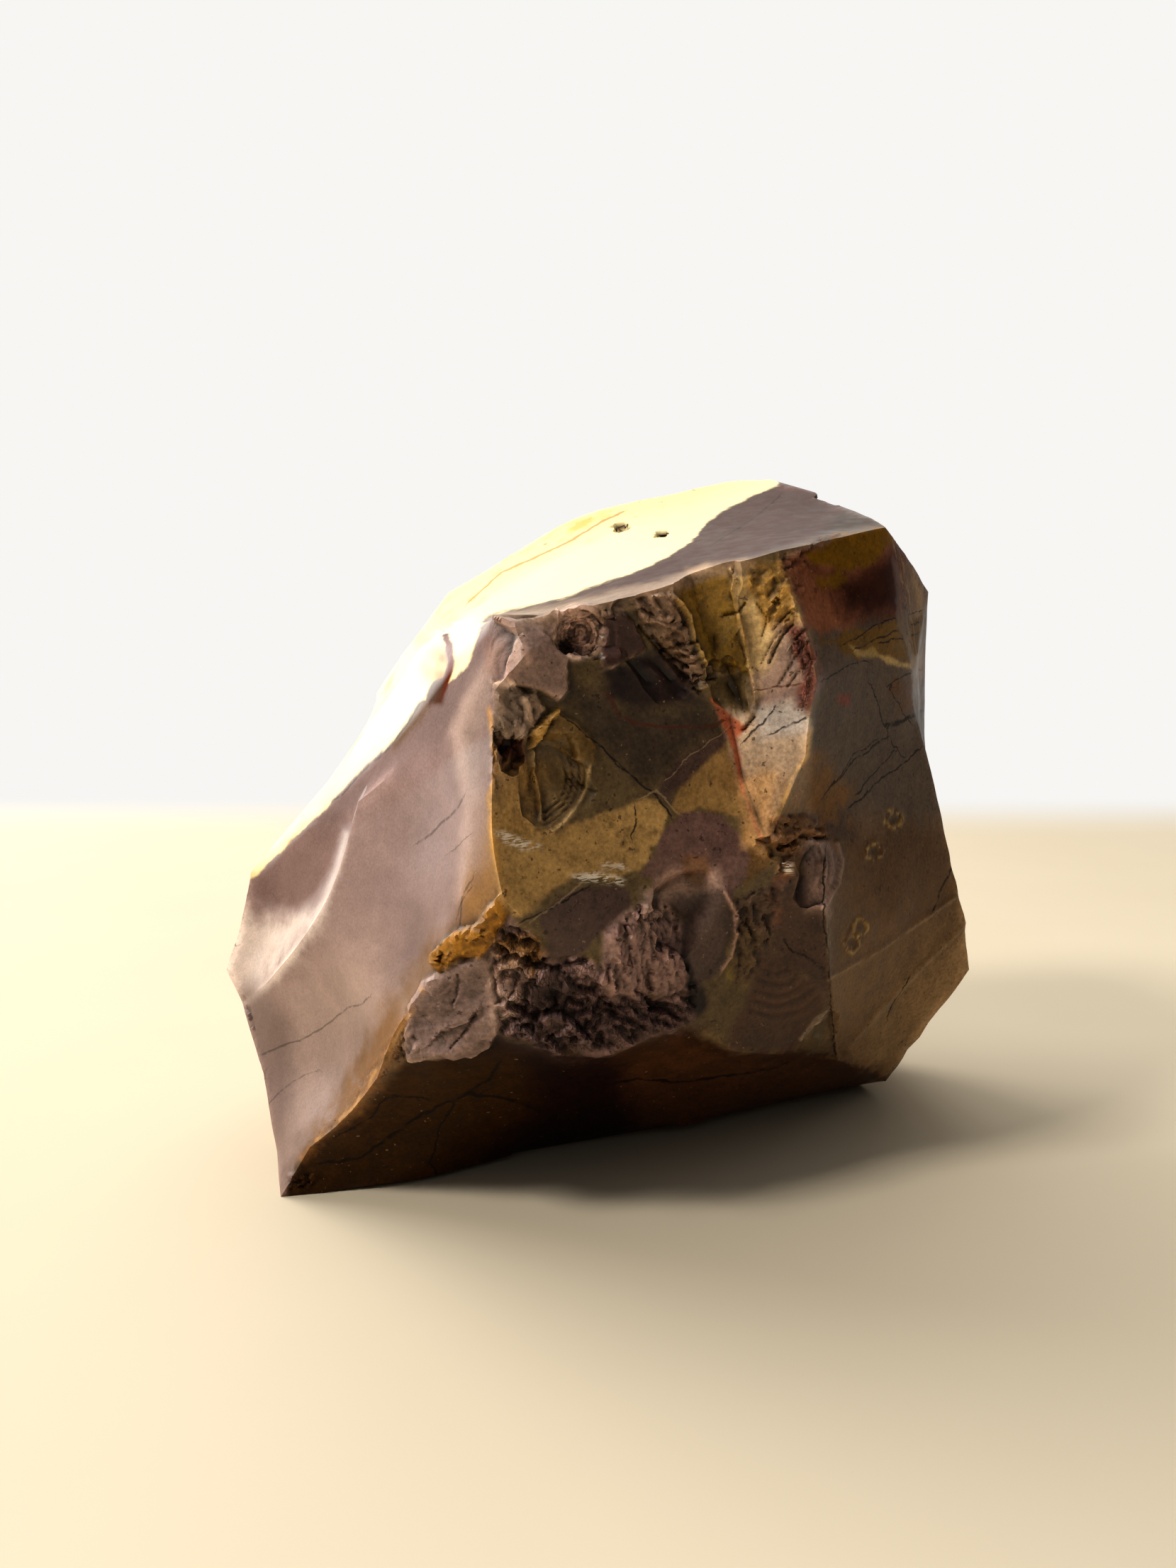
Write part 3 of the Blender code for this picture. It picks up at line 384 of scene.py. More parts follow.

# Colour patches: colour, softness and raggedness of the edge in millimetres, share, then the outline; some
# are painted light, highlight or shade, named so
PATCHES = (
    ("left_face", MAUVE, 0.5, 0.2, 1.0, LEFT_FACE),
    ("left_hollow", (122, 106, 102), 4.0, 1.0, 1.0, ((700, 880), (728, 882), (722, 950), (700, 977),
        (693, 1033), (700, 1089), (640, 1100), (620, 1020), (650, 950))),
    ("left_upper_shade", (116, 99, 96), 2.2, 0.5, 0.8, ((640, 940), (690, 876), (708, 960), (660, 1010),
        (600, 1070), (530, 1130), (460, 1180), (435, 1165), (445, 1142), (508, 1088), (575, 1016))),
    # Painted highlight along the band beside the ridge
    ("left_band_highlight", (186, 162, 148), 1.5, 0.4, 0.45, ((707, 914), (697, 960), (682, 1000), (670, 1040),
        (676, 1089), (684, 1131), (680, 1200), (670, 1264), (650, 1264), (652, 1200), (654, 1131),
        (645, 1089), (635, 1033), (655, 985), (692, 925))),
    # Painted light on the upper left face
    ("left_high_painted_light", (164, 142, 140), 4.0, 1.0, 0.7, ((500, 1170), (560, 1110), (630, 1060), (655, 1120),
        (640, 1220), (560, 1260), (500, 1240))),
    # Painted light on the middle of the left face
    ("left_mid_painted_light", (150, 126, 119), 4.0, 1.0, 0.8, ((480, 1190), (560, 1120), (600, 1200), (560, 1330),
        (440, 1440), (380, 1420), (430, 1330))),
    # Painted highlight along the scar's ridge
    ("scar_highlight", (214, 196, 186), 0.7, 0.2, 0.9, ((343, 1414), (379, 1383), (427, 1325), (456, 1270),
        (475, 1219), (486, 1175), (490, 1176), (480, 1222), (461, 1275), (431, 1331), (383, 1390),
        (346, 1420))),
    ("scar_pale", (208, 188, 174), 2.2, 1.4, 0.85, ((296, 1345), (325, 1300), (355, 1290), (390, 1300),
        (430, 1290), (445, 1295), (420, 1335), (372, 1385), (344, 1414), (310, 1400))),
    ("scar_shade", (108, 88, 81), 1.2, 0.5, 0.6, SCAR_SHADE),
    # Painted light on the lower left face
    ("left_low_painted_light", (184, 158, 143), 5.0, 1.0, 0.45, ((400, 1400), (520, 1330), (560, 1400), (480, 1560),
        (400, 1600), (360, 1500))),
    # Painted shade near the lower left edge
    ("left_low_edge_shade", (104, 84, 77), 2.0, 0.6, 0.75, ((318, 1390), (360, 1385), (410, 1440), (418, 1500),
        (408, 1600), (385, 1650), (350, 1500))),
    ("top_face", MAUVE_TOP, 0.5, 0.2, 1.0, TOP_FACE),
    # Painted highlight on the lit rim below the top
    ("top_rim_highlight", (150, 128, 108), 0.5, 0.3, 0.9, ((696, 868), (760, 857), (850, 838), (930, 818),
        (1000, 795), (1003, 804), (938, 829), (861, 845), (784, 866), (700, 873))),
    ("top_step", (62, 48, 34), 0.6, 0.4, 0.9, ((1135, 778), (1165, 745), (1190, 718), (1230, 728),
        (1256, 744), (1180, 757))),
    ("right_face", SLATE, 0.8, 0.4, 1.0, RIGHT_FACE),
    ("narrow_face", (158, 131, 102), 0.6, 0.3, 0.9, ((1256, 745), (1272, 787), (1305, 838), (1300, 900),
        (1300, 955), (1290, 950), (1284, 900), (1272, 840), (1258, 790))),
    ("right_low", SLATE_LOW, 3.0, 1.0, 1.0, ((1165, 1180), (1250, 1150), (1340, 1180), (1400, 1400),
        (1250, 1560), (1180, 1493), (1170, 1340))),
    # Painted light on the lower right corner
    ("right_bottom_painted_light", (160, 130, 94), 2.5, 0.6, 0.85, ((1200, 1500), (1240, 1430), (1300, 1370),
        (1359, 1308), (1348, 1266), (1380, 1290), (1390, 1350), (1300, 1470), (1250, 1530))),
    ("right_slab", (150, 122, 88), 0.12, 0.1, 0.28, ((1168, 1381), (1244, 1339), (1300, 1300), (1348, 1266),
        (1400, 1250), (1400, 1400), (1250, 1560), (1180, 1493))),
    ("right_slab_low", (150, 122, 88), 0.12, 0.1, 0.2, ((1196, 1479), (1244, 1423), (1290, 1375),
        (1326, 1339), (1359, 1308), (1400, 1290), (1400, 1400), (1250, 1560))),
    ("right_ochre_band", (94, 68, 45), 2.0, 1.5, 0.8, ((1195, 1190), (1280, 1160), (1350, 1190),
        (1360, 1270), (1270, 1300), (1200, 1280))),
    ("right_dark", (74, 56, 48), 1.5, 0.8, 0.7, ((1120, 1115), (1190, 1115), (1205, 1185), (1140, 1180))),
    ("undercut", UNDER_MAROON, 0.35, 0.7, 1.0, UNDERCUT),
    ("undercut_left", UNDER_OCHRE, 2.5, 1.0, 1.0, UNDERCUT_LEFT),
    ("undercut_right", UNDER_BROWN, 2.5, 1.0, 1.0, UNDERCUT_RIGHT),
    ("upper_left_shelf", (142, 116, 104), 0.3, 0.2, 1.0, PLATES["upper_left_shelf"][2]),
    ("reddish_flake", (66, 45, 39), 0.3, 0.2, 1.0, PLATES["reddish_flake"][2]),
    ("brow_flake", (84, 64, 55), 0.3, 0.2, 1.0, PLATES["brow_flake"][2]),
    # Painted highlight below the lit rim
    ("brow_highlight", (150, 124, 104), 0.6, 0.5, 0.8, ((722, 874), (850, 848), (1000, 810), (1030, 801), (1030, 812),
        (1000, 828), (850, 866), (735, 893))),
    ("pit", (186, 152, 134), 0.6, 0.3, 1.0, ((785, 868), (812, 856), (842, 860), (852, 890), (842, 925),
        (800, 930), (780, 905))),
    ("pit_shade", (40, 28, 28), 0.4, 0.2, 0.7, ((784, 900), (800, 908), (815, 915), (828, 912), (822, 924),
        (806, 928), (790, 918))),
    ("cracked_steps", (138, 112, 92), 0.4, 0.3, 1.0, CRUMBS["cracked_steps"][-1]),
    ("dark_plane", DEEP_BROWN, 1.0, 0.5, 1.0, ((850, 945), (885, 935), (915, 920), (935, 905), (965, 950),
        (990, 985), (1000, 1000), (960, 995), (920, 1000), (880, 1000), (855, 985))),
    ("dark_plane_low", (68, 54, 42), 1.2, 0.6, 0.9, ((800, 960), (880, 1000), (1000, 1000), (1020, 1030),
        (985, 1055), (950, 1085), (920, 1110), (880, 1090), (850, 1050), (815, 1010))),
    ("ochre_left", OCHRE, 0.3, 0.5, 1.0, ((692, 1120), (730, 1160), (790, 1172), (840, 1150), (880, 1140),
        (905, 1128), (930, 1128), (940, 1150), (930, 1180), (915, 1215), (880, 1238), (810, 1240),
        (770, 1262), (745, 1290), (712, 1292), (700, 1260), (694, 1200))),
    ("ochre_right", (146, 114, 68), 0.25, 0.4, 1.0, ((955, 1115), (975, 1095), (1000, 1070), (1030, 1040),
        (1040, 1075), (1050, 1130), (1068, 1165), (1030, 1150), (1005, 1145), (985, 1140), (960, 1150),
        (945, 1140))),
    ("ochre_corner", OCHRE_DARK, 0.5, 0.5, 1.0, ((1050, 1165), (1068, 1165), (1085, 1192), (1100, 1195),
        (1080, 1225), (1050, 1250), (1040, 1235))),
    ("ochre_ridge", (116, 80, 42), 1.3, 1.0, 1.0, ((648, 1288), (672, 1238), (690, 1230), (706, 1262),
        (690, 1290), (618, 1345), (616, 1380), (570, 1471), (520, 1561), (442, 1624), (425, 1632),
        (465, 1561), (515, 1471), (565, 1380), (612, 1326))),
    # Gold ochre edge, made lighter still by a painted highlight
    ("edge_gold_highlight", (150, 112, 66), 1.6, 0.6, 0.7, ((692, 1130), (700, 1200), (714, 1264), (690, 1290),
        (652, 1290), (666, 1240), (682, 1180))),
    ("plum_lens", PLUM_DARK, 0.2, 0.35, 1.0, ((762, 1300), (790, 1265), (830, 1248), (884, 1252),
        (890, 1275), (850, 1310), (827, 1345), (776, 1358))),
    ("plum_blob", PLUM, 0.2, 0.35, 1.0, ((925, 1200), (940, 1170), (960, 1150), (990, 1143), (1020, 1150),
        (1042, 1175), (1060, 1210), (1050, 1240), (1030, 1270), (990, 1290), (960, 1290), (930, 1270),
        (920, 1240), (905, 1235), (915, 1215))),
    ("plum_tongue", (80, 60, 50), 0.4, 0.4, 1.0, ((925, 1120), (935, 1095), (960, 1070), (985, 1050),
        (1020, 1030), (1035, 1035), (1000, 1070), (975, 1095), (955, 1115), (945, 1140))),
    ("shell_scar", (110, 88, 56), 0.3, 0.3, 1.0, RIPPLES["shell_scar"][5]),
    ("grey_stack", (124, 104, 88), 0.5, 0.4, 1.0, PLATES["left_stack"][2]),
    ("ochre_fin", (150, 116, 62), 0.2, 0.1, 1.0, PLATES["ochre_fin"][2]),
    ("olive_shelf", (106, 82, 44), 0.3, 0.2, 1.0, PLATES["olive_shelf"][2]),
    ("triangle_flake", (140, 116, 96), 0.2, 0.1, 1.0, PLATES["triangle_flake"][2]),
    ("hole", (110, 72, 60), 0.5, 0.3, 1.0, ((703, 1048), (735, 1042), (742, 1075), (728, 1090),
        (708, 1085))),
    ("band", BAND_GREY, 0.35, 0.8, 1.0, CRUMBS["band"][-1]),
    ("band_low", (74, 54, 50), 1.5, 0.8, 0.7, ((690, 1400), (860, 1400), (985, 1400), (985, 1450),
        (923, 1470), (794, 1495), (702, 1465))),
    ("band_dark", (50, 35, 31), 1.0, 0.8, 0.8, ((736, 1372), (790, 1354), (816, 1396), (786, 1432),
        (745, 1424))),
    ("grey_flake", FLAKE_GREY, 0.3, 0.2, 1.0, PLATES["grey_flake"][2]),
    ("ochre_crust", CRUST_GOLD, 0.3, 0.3, 1.0, PLATES["ochre_crust"][2]),
    ("yellow_knots", (130, 94, 46), 0.6, 0.8, 0.9, CRUMBS["yellow_knots"][-1]),
    ("fan", (138, 110, 101), 0.5, 0.4, 1.0, FAN_OUTLINE),
    ("dark_gap", (36, 24, 22), 0.5, 0.4, 1.0, ((964, 1310), (985, 1367), (1000, 1420), (985, 1440),
        (965, 1400), (960, 1350))),
    ("round_scar", (86, 67, 59), 0.5, 0.3, 1.0, ((975, 1255), (1000, 1242), (1022, 1256), (1037, 1290),
        (1035, 1340), (1008, 1378), (985, 1395), (972, 1360), (964, 1304))),
    ("moss", (138, 116, 52), 0.3, 1.2, 0.8, ((1028, 1330), (1040, 1306), (1064, 1300), (1076, 1335),
        (1067, 1389), (1028, 1389))),
    ("rust_crumbs", (136, 78, 50), 0.3, 1.2, 0.8, ((1092, 1238), (1118, 1232), (1116, 1290), (1100, 1335),
        (1086, 1300))),
    ("small_fan", (136, 114, 106), 0.5, 0.2, 1.0, RIPPLES["small_fan"][5]),
    ("ripple_scar", (84, 60, 46), 0.6, 0.4, 1.0, RIPPLES["ripple_scar"][5]),
    ("lower_right", (80, 58, 46), 0.8, 0.4, 1.0, ((1104, 1250), (1165, 1200), (1172, 1415), (1120, 1365),
        (1085, 1340))),
    ("pale_step", (150, 128, 108), 0.2, 0.1, 1.0, ((1150, 1436), (1172, 1422), (1168, 1436), (1152, 1446),
        (1132, 1470), (1126, 1466))),
    ("upright", (122, 92, 26), 0.4, 0.3, 1.0, LAYERS["upright"][3]),
    ("upright_gold", (130, 98, 36), 1.2, 0.8, 0.7, ((965, 835), (1031, 806), (1034, 850), (1000, 880),
        (975, 865))),
    ("wedge", WEDGE_TAN, 0.4, 0.4, 1.0, WEDGE_OUTLINE),
    ("wedge_left", (150, 122, 78), 0.8, 0.5, 0.8, ((1037, 815), (1056, 828), (1070, 900), (1078, 975),
        (1066, 990), (1056, 930), (1040, 860))),
    ("yellow_crumbs", (150, 112, 46), 0.6, 0.5, 0.9, CRUMBS["yellow_crumbs"][-1]),
    ("wedge_beige", WEDGE_BEIGE, 0.5, 0.3, 1.0, ((1012, 996), (1060, 1010), (1075, 990), (1130, 975),
        (1140, 1000), (1143, 1029), (1139, 1067), (1118, 1095), (1109, 1122), (1095, 1149), (1078, 1196),
        (1054, 1139), (1040, 1100), (1028, 1050))),
    ("wedge_low", (152, 114, 72), 3.0, 0.8, 0.75, ((1040, 1100), (1130, 1085), (1112, 1125), (1095, 1149),
        (1078, 1200), (1054, 1139))),
    ("wedge_foot", (122, 86, 46), 1.2, 1.6, 0.8, ((1118, 1100), (1146, 1062), (1172, 1085), (1204, 1112),
        (1190, 1150), (1140, 1150), (1100, 1152))),
    ("wedge_pink", WEDGE_PINK, 1.2, 0.6, 0.9, ((1100, 880), (1140, 875), (1152, 960), (1142, 985),
        (1070, 1000), (1064, 955), (1085, 930))),
    ("wedge_pale", WEDGE_PALE, 0.8, 0.4, 0.8, ((1065, 1000), (1138, 985), (1142, 1030), (1070, 1045))),
    ("brick_red", BRICK_RED, 0.2, 0.2, 1.0, ((1002, 985), (1018, 998), (1052, 1028), (1040, 1040),
        (1048, 1100), (1058, 1139), (1045, 1120), (1034, 1060), (1016, 1015))),
    ("red_seam", (108, 60, 46), 0.5, 0.5, 0.9, CRUMBS["red_seam"][-1]),
    ("knot", (114, 80, 50), 0.5, 0.5, 0.9, CRUMBS["knot"][-1]),
    ("lower_knot", (88, 66, 54), 0.6, 0.5, 0.8, CRUMBS["lower_knot"][-1]),
    ("top_rust", RUST, 0.8, 0.6, 1.0, ((1105, 790), (1180, 760), (1255, 750), (1275, 790), (1280, 868),
        (1230, 870), (1200, 885), (1160, 895), (1135, 885), (1120, 850))),
    ("top_rust_dark", RUST_DARK, 2.0, 0.8, 0.95, ((1150, 800), (1200, 812), (1230, 796), (1268, 770),
        (1285, 868), (1230, 874), (1190, 866), (1170, 830))),
    ("top_olive", OLIVE_GOLD, 0.4, 0.5, 1.0, ((1140, 782), (1180, 756), (1216, 748), (1254, 746),
        (1260, 766), (1248, 778), (1228, 794), (1216, 802), (1200, 807), (1184, 800), (1166, 802),
        (1150, 796))),
    ("top_olive_spot", OLIVE_GOLD, 0.4, 0.6, 1.0, ((1150, 813), (1180, 809), (1195, 815), (1184, 827),
        (1160, 826))),
    ("ochre_streak", (108, 80, 34), 0.4, 0.7, 1.0, ((1158, 904), (1200, 890), (1232, 888), (1276, 872),
        (1302, 870), (1300, 908), (1290, 938), (1242, 926), (1206, 926), (1172, 912))),
    ("right_brown", (98, 68, 42), 1.0, 0.8, 0.8, ((1250, 965), (1297, 945), (1295, 1000), (1270, 1005))),
    ("pale_jag", (176, 150, 100), 0.2, 0.12, 0.9, ((1236, 923), (1250, 926), (1262, 929), (1272, 935),
        (1294, 938), (1290, 943), (1268, 941), (1252, 936))),
    ("pale_tooth", (160, 134, 84), 0.2, 0.15, 0.8, ((1198, 910), (1216, 918), (1232, 912), (1242, 926),
        (1224, 929), (1208, 924))),
    ("red_spot", (130, 66, 50), 0.3, 0.3, 0.8, ((1180, 979), (1200, 982), (1198, 996), (1182, 992))),
    ("orange_flakes", (140, 92, 70), 0.4, 0.6, 0.2, ((686, 898), (712, 898), (727, 940), (712, 967),
        (688, 950))),
    ("pale_flakes", (186, 158, 138), 0.2, 0.3, 0.8, ((695, 962), (712, 960), (732, 964), (728, 970),
        (705, 969))),
    # Painted light that lifts the shade under the arch
    ("arch_painted_light", (186, 152, 136), 0.9, 0.5, 0.9, ((915, 1264), (925, 1242), (950, 1230), (985, 1224),
        (1012, 1230), (1015, 1250), (990, 1258), (960, 1262), (935, 1276))),
    ("brown_crystals", (120, 82, 50), 0.5, 0.9, 0.8, ((965, 1210), (1000, 1207), (1000, 1252),
        (968, 1255))),
    ("left_crescent", (92, 32, 12), 0.2, 0.1, 1.0, CREAM_GAPS[0]),
    ("left_grey_brown", (76, 56, 44), 0.6, 0.2, 0.9, CREAM_GAPS[1]),
    ("left_ochre_brown", (92, 72, 48), 0.9, 0.3, 0.8, ((600, 985), (592, 990), (575, 1016), (550, 1050),
        (556, 1058), (582, 1030), (604, 1000))),
    # Painted highlight on the lit rim
    ("rim_right_highlight", (184, 154, 122), 0.5, 0.3, 0.5, ((968, 802), (1012, 794), (1052, 788), (1064, 793),
        (1062, 808), (1034, 814), (1000, 810), (972, 813))),
    # Painted light that lifts the shade at the stack's foot
    ("stack_foot_painted_light", (180, 140, 82), 1.0, 0.8, 0.7, ((700, 1080), (735, 1074), (762, 1084), (768, 1130),
        (756, 1164), (735, 1176), (702, 1178))),
    # Painted light that lifts the shade in the gap beside the band
    ("knot_painted_light", (190, 160, 146), 1.0, 0.6, 0.6, ((694, 1345), (738, 1345), (742, 1420), (700, 1448),
        (690, 1400))),
    # Painted light on the wedge's foot
    ("wedge_low_painted_light", (222, 172, 114), 0.8, 0.6, 0.55, ((1040, 1095), (1094, 1090), (1088, 1150),
        (1074, 1200), (1050, 1192))),
    # Painted light below the plum blob
    ("blob_low_painted_light", (180, 150, 136), 0.8, 0.6, 0.6, ((905, 1258), (945, 1252), (950, 1300),
        (905, 1310))),
    # Painted light on the flake's left side
    ("flake_left_painted_light", (160, 130, 114), 0.8, 0.5, 0.7, ((1136, 1220), (1165, 1220), (1180, 1262),
        (1170, 1292), (1142, 1285))),
    # Painted light on the cracked steps
    ("steps_painted_light", (140, 112, 84), 0.8, 0.8, 0.5, ((930, 898), (962, 884), (972, 930), (945, 935))),
)

# Patches with a crisp edge, and the outline of the cream rind
CRISP_PATCHES = (
    "ochre_left", "ochre_right", "plum_lens", "plum_blob", "plum_tongue", "wedge_beige", "brick_red",
    "ochre_streak", "pale_jag", "pale_tooth", "top_olive", "left_crescent", "scar_highlight", "right_slab",
)
CREAM_OUTLINE = (
    (1104, 683), (1065, 699), (1021, 721), (998, 737), (982, 759), (944, 785), (893, 810), (848, 823),
    (791, 845), (740, 857), (690, 868), (682, 874), (672, 903), (664, 936), (643, 957), (628, 965),
    (610, 985), (592, 990), (575, 1016), (550, 1050), (508, 1088), (478, 1120), (451, 1150), (417, 1180),
    (400, 1200), (379, 1216), (364, 1234), (346, 1246), (330, 1200), (400, 1080), (520, 880), (640, 780),
    (850, 660), (1084, 640),
)

# The plane where the rind ends on the hidden sides, and the way in which the rind grows yellower
CREAM_NORMAL = np.array((-0.65, 0.09, 0.755))
CREAM_THROUGH = np.array((16.45, 18.26, 88.0))
CREAM_EDGE_FROM = (20.0, 10.0, 70.0)
CREAM_EDGE_WAY = (-0.4, 0.9, 0.0)

# Whitish bruises
BRUISES = (
    ((690, 1172), (712, 1168), (742, 1182), (768, 1190), (768, 1200), (735, 1203), (705, 1190)),
    ((800, 1232), (835, 1226), (870, 1232), (888, 1242), (880, 1252), (840, 1248), (810, 1246)),
    ((838, 1212), (892, 1216), (892, 1230), (850, 1228)),
    ((1102, 1212), (1122, 1214), (1122, 1238), (1104, 1236)),
)

# Lit edges: colour, width in pixels, and the run
GLINTS = (
    ((206, 116, 84), 3.0, ((1030, 1012), (1040, 1040), (1046, 1100), (1056, 1139), (1076, 1188))),
    ((214, 184, 166), 3.0, ((796, 872), (783, 885), (780, 902), (788, 918), (806, 929), (826, 929),
        (841, 916), (846, 899), (838, 882))),
    ((190, 160, 144), 2.5, ((783, 868), (806, 858), (835, 855), (862, 858), (880, 866))),
    ((150, 126, 98), 2.0, RIBS["upper_right_bend"][2]),
    ((150, 126, 98), 2.0, RIBS["lower_right_bend"][2]),
    ((190, 140, 66), 4.0, ((690, 1000), (700, 1089), (689, 1124), (693, 1173), (706, 1240), (714, 1264))),
    ((196, 158, 90), 3.0, RIBS["upright_left_rib"][2]),
    ((150, 116, 66), 3.0, ((1031, 803), (1038, 815), (1034, 835), (1044, 880), (1054, 920))),
    ((168, 140, 96), 3.0, RIBS["shell_rim"][2]),
    ((166, 140, 100), 2.5, RIBS["shell_blade"][2]),
    ((190, 150, 130), 3.0, RIBS["round_rim"][2]),
    ((150, 126, 116), 3.0, RIBS["fan_rim"][2]),
    ((180, 150, 128), 2.5, ((850, 945), (862, 942), (884, 930), (903, 924), (914, 915))),
    ((206, 164, 96), 3.5, ((1143, 1029), (1139, 1067), (1118, 1095), (1109, 1122), (1095, 1149))),
    ((176, 150, 130), 2.5, ((577, 1493), (620, 1492), (664, 1487), (690, 1472))),
    ((186, 158, 134), 2.5, ((799, 930), (801, 955), (799, 975), (788, 986))),
    ((196, 150, 70), 3.0, ((790, 1000), (765, 1030), (752, 1050))),
    ((176, 134, 78), 3.0, ((600, 1395), (560, 1462), (500, 1560), (446, 1608))),
)

# Black dots, ring-shaped marks and the two small holes in the rind, with sizes in pixels
BLACK_DOTS = (
    (862, 1165), (871, 1178), (884, 1171), (893, 1186), (905, 1168), (912, 1181), (924, 1173), (897, 1200),
    (879, 1190), (918, 1197),
)
DOT_RADIUS = 4.0
RING_PITS = ((1261, 1156), (1233, 1201), (1201, 1331), (1213, 1309))
RING_RADIUS = 11.0
RING_MIDDLE = 6.0
CREAM_HOLES = (((877, 743), (11, 6)), ((935, 753), (10, 4)))
HOLE_DEEP = 1.4

# The round bump at the left: middle, radius in pixels, height in millimetres; and the brown painted shade
# round it, which shows its form
CHEEK_BUMP = ((612, 915), 25.0, 0.9)
CREAM_PAINTED_SHADES = (
    ((628, 930), 14.0, 0.8),
    ((622, 955), 16.0, 0.8),
    ((596, 905), 12.0, 0.5),
    ((606, 950), 14.0, 0.5),
    ((640, 880), 12.0, 0.3),
)

# Veins: half their width in millimetres, then the run
DARK_VEINS = (
    (0.12, ((1252, 1038), (1232, 1054), (1204, 1074), (1172, 1110))),
    (0.13, ((1296, 1058), (1268, 1082), (1240, 1102), (1216, 1126), (1200, 1138))),
    (0.09, ((1228, 966), (1238, 994), (1248, 1026), (1260, 1050), (1272, 1066))),
    (0.1, ((1192, 908), (1212, 898), (1232, 883), (1276, 868), (1300, 862))),
    (0.14, ((1240, 908), (1262, 902), (1280, 900), (1298, 892))),
    (0.3, ((1250, 1022), (1270, 1020), (1298, 1004))),
    (0.14, ((1345, 1220), (1330, 1250), (1318, 1280), (1312, 1290))),
    (0.12, ((1282, 1378), (1268, 1400), (1258, 1420), (1252, 1435))),
    (0.2, ((358, 1494), (375, 1485), (400, 1475))),
    (0.14, ((375, 1485), (400, 1474), (425, 1467), (450, 1453), (468, 1440), (490, 1422), (512, 1416),
        (518, 1408))),
    (0.16, ((656, 1124), (645, 1141), (622, 1162), (610, 1175), (592, 1188))),
    (0.1, ((667, 1240), (655, 1265), (648, 1305))),
    (0.16, ((592, 994), (575, 1020), (550, 1054), (508, 1092), (483, 1121), (445, 1146), (403, 1180))),
    (0.13, ((850, 1055), (880, 1085), (910, 1110), (925, 1120), (945, 1150))),
    (0.14, ((895, 1142), (897, 1160), (893, 1177))),
    (0.12, ((735, 1300), (790, 1275), (830, 1250))),
    (0.14, ((1090, 1005), (1070, 1025), (1050, 1045))),
    (0.14, ((1100, 700), (1065, 730), (1010, 765))),
    (0.12, ((1165, 1200), (1160, 1282), (1168, 1340), (1171, 1415), (1179, 1488))),
    (0.22, ((540, 1611), (570, 1590), (596, 1572), (630, 1556), (660, 1544), (713, 1549), (760, 1565))),
    (0.2, ((660, 1544), (690, 1522), (705, 1500))),
    (0.16, ((865, 1530), (900, 1523), (968, 1527), (1083, 1508), (1110, 1500))),
)
CROSS_VEINS = (
    (0.1, ((1264, 1058), (1248, 1074), (1228, 1098), (1208, 1122))),
    (0.09, ((1235, 1045), (1205, 1065), (1190, 1085), (1160, 1128))),
    (0.09, ((1252, 970), (1268, 994), (1276, 1010), (1285, 1022))),
    (0.12, ((1254, 968), (1272, 955), (1297, 946))),
    (0.14, ((1208, 915), (1235, 903), (1268, 889), (1296, 878))),
    (0.1, ((1160, 960), (1180, 950), (1200, 935), (1222, 934))),
    (0.1, ((378, 1558), (395, 1540), (415, 1525), (432, 1516), (447, 1511))),
    (0.08, ((663, 1180), (650, 1192), (632, 1205))),
    (0.08, ((665, 1252), (650, 1280), (643, 1300))),
    (0.1, ((790, 1010), (830, 1040), (855, 1060), (870, 1080), (900, 1100))),
    (0.12, ((1140, 1010), (1110, 1025), (1090, 1035))),
    (0.2, ((540, 1611), (506, 1634), (451, 1642))),
    (0.18, ((640, 1556), (620, 1590), (608, 1640), (617, 1661))),
    (0.15, ((480, 1600), (520, 1580), (545, 1546), (600, 1550))),
    (0.1, ((1006, 690), (1011, 718))),
)
RUSTY_VEINS = (
    (0.22, ((858, 982), (875, 1010), (900, 1020), (925, 1027), (960, 1025), (1000, 1024), (1020, 1018))),
    (0.16, ((660, 850), (708, 807), (770, 780), (810, 760), (850, 735), (880, 722))),
    (0.14, ((1069, 974), (1100, 970), (1135, 965))),
)
PALE_VEINS = (
    (0.08, ((940, 1100), (975, 1065), (1010, 1040), (1030, 1025))),
    (0.12, ((905, 1125), (925, 1115), (945, 1135), (955, 1145))),
    (0.12, ((820, 1245), (785, 1275), (750, 1300))),
    (0.1, ((1258, 755), (1274, 830), (1288, 940))),
    (0.08, ((1266, 760), (1282, 840), (1294, 930))),
)
VEINS = dict(dark_veins=DARK_VEINS, cross_veins=CROSS_VEINS, rusty_veins=RUSTY_VEINS, pale_veins=PALE_VEINS)
VEIN_REACH = 2.0

# The hidden sides: middles of the broad ripples, in millimetres, with their spacing and height
BACK_RIPPLES = (
    ((38.0, 30.0, 70.0), 5.5, 0.16),
    ((-30.0, 36.0, 30.0), 6.5, 0.15),
    ((48.0, 10.0, 20.0), 5.0, 0.14),
    ((0.0, 44.0, 74.0), 6.0, 0.14),
)

# Lumps of the hidden sides' colours and threads, in millimetres
BACK_CLOUD = 30.0
BACK_CLOUD_NARROW = 23.1
BACK_VEIN_CLOUD = 15.0

# Brightness of the light tent's sides
TENT_FRONT = 0.045
TENT_BACK = 0.9
TENT_LEFT = 0.15
TENT_TOP = 0.3
WALL_GLOW = 0.78
TENT_COLOUR = (1.0, 0.985, 0.96, 1.0)
WALL_COLOUR = (1.0, 0.99, 0.97, 1.0)

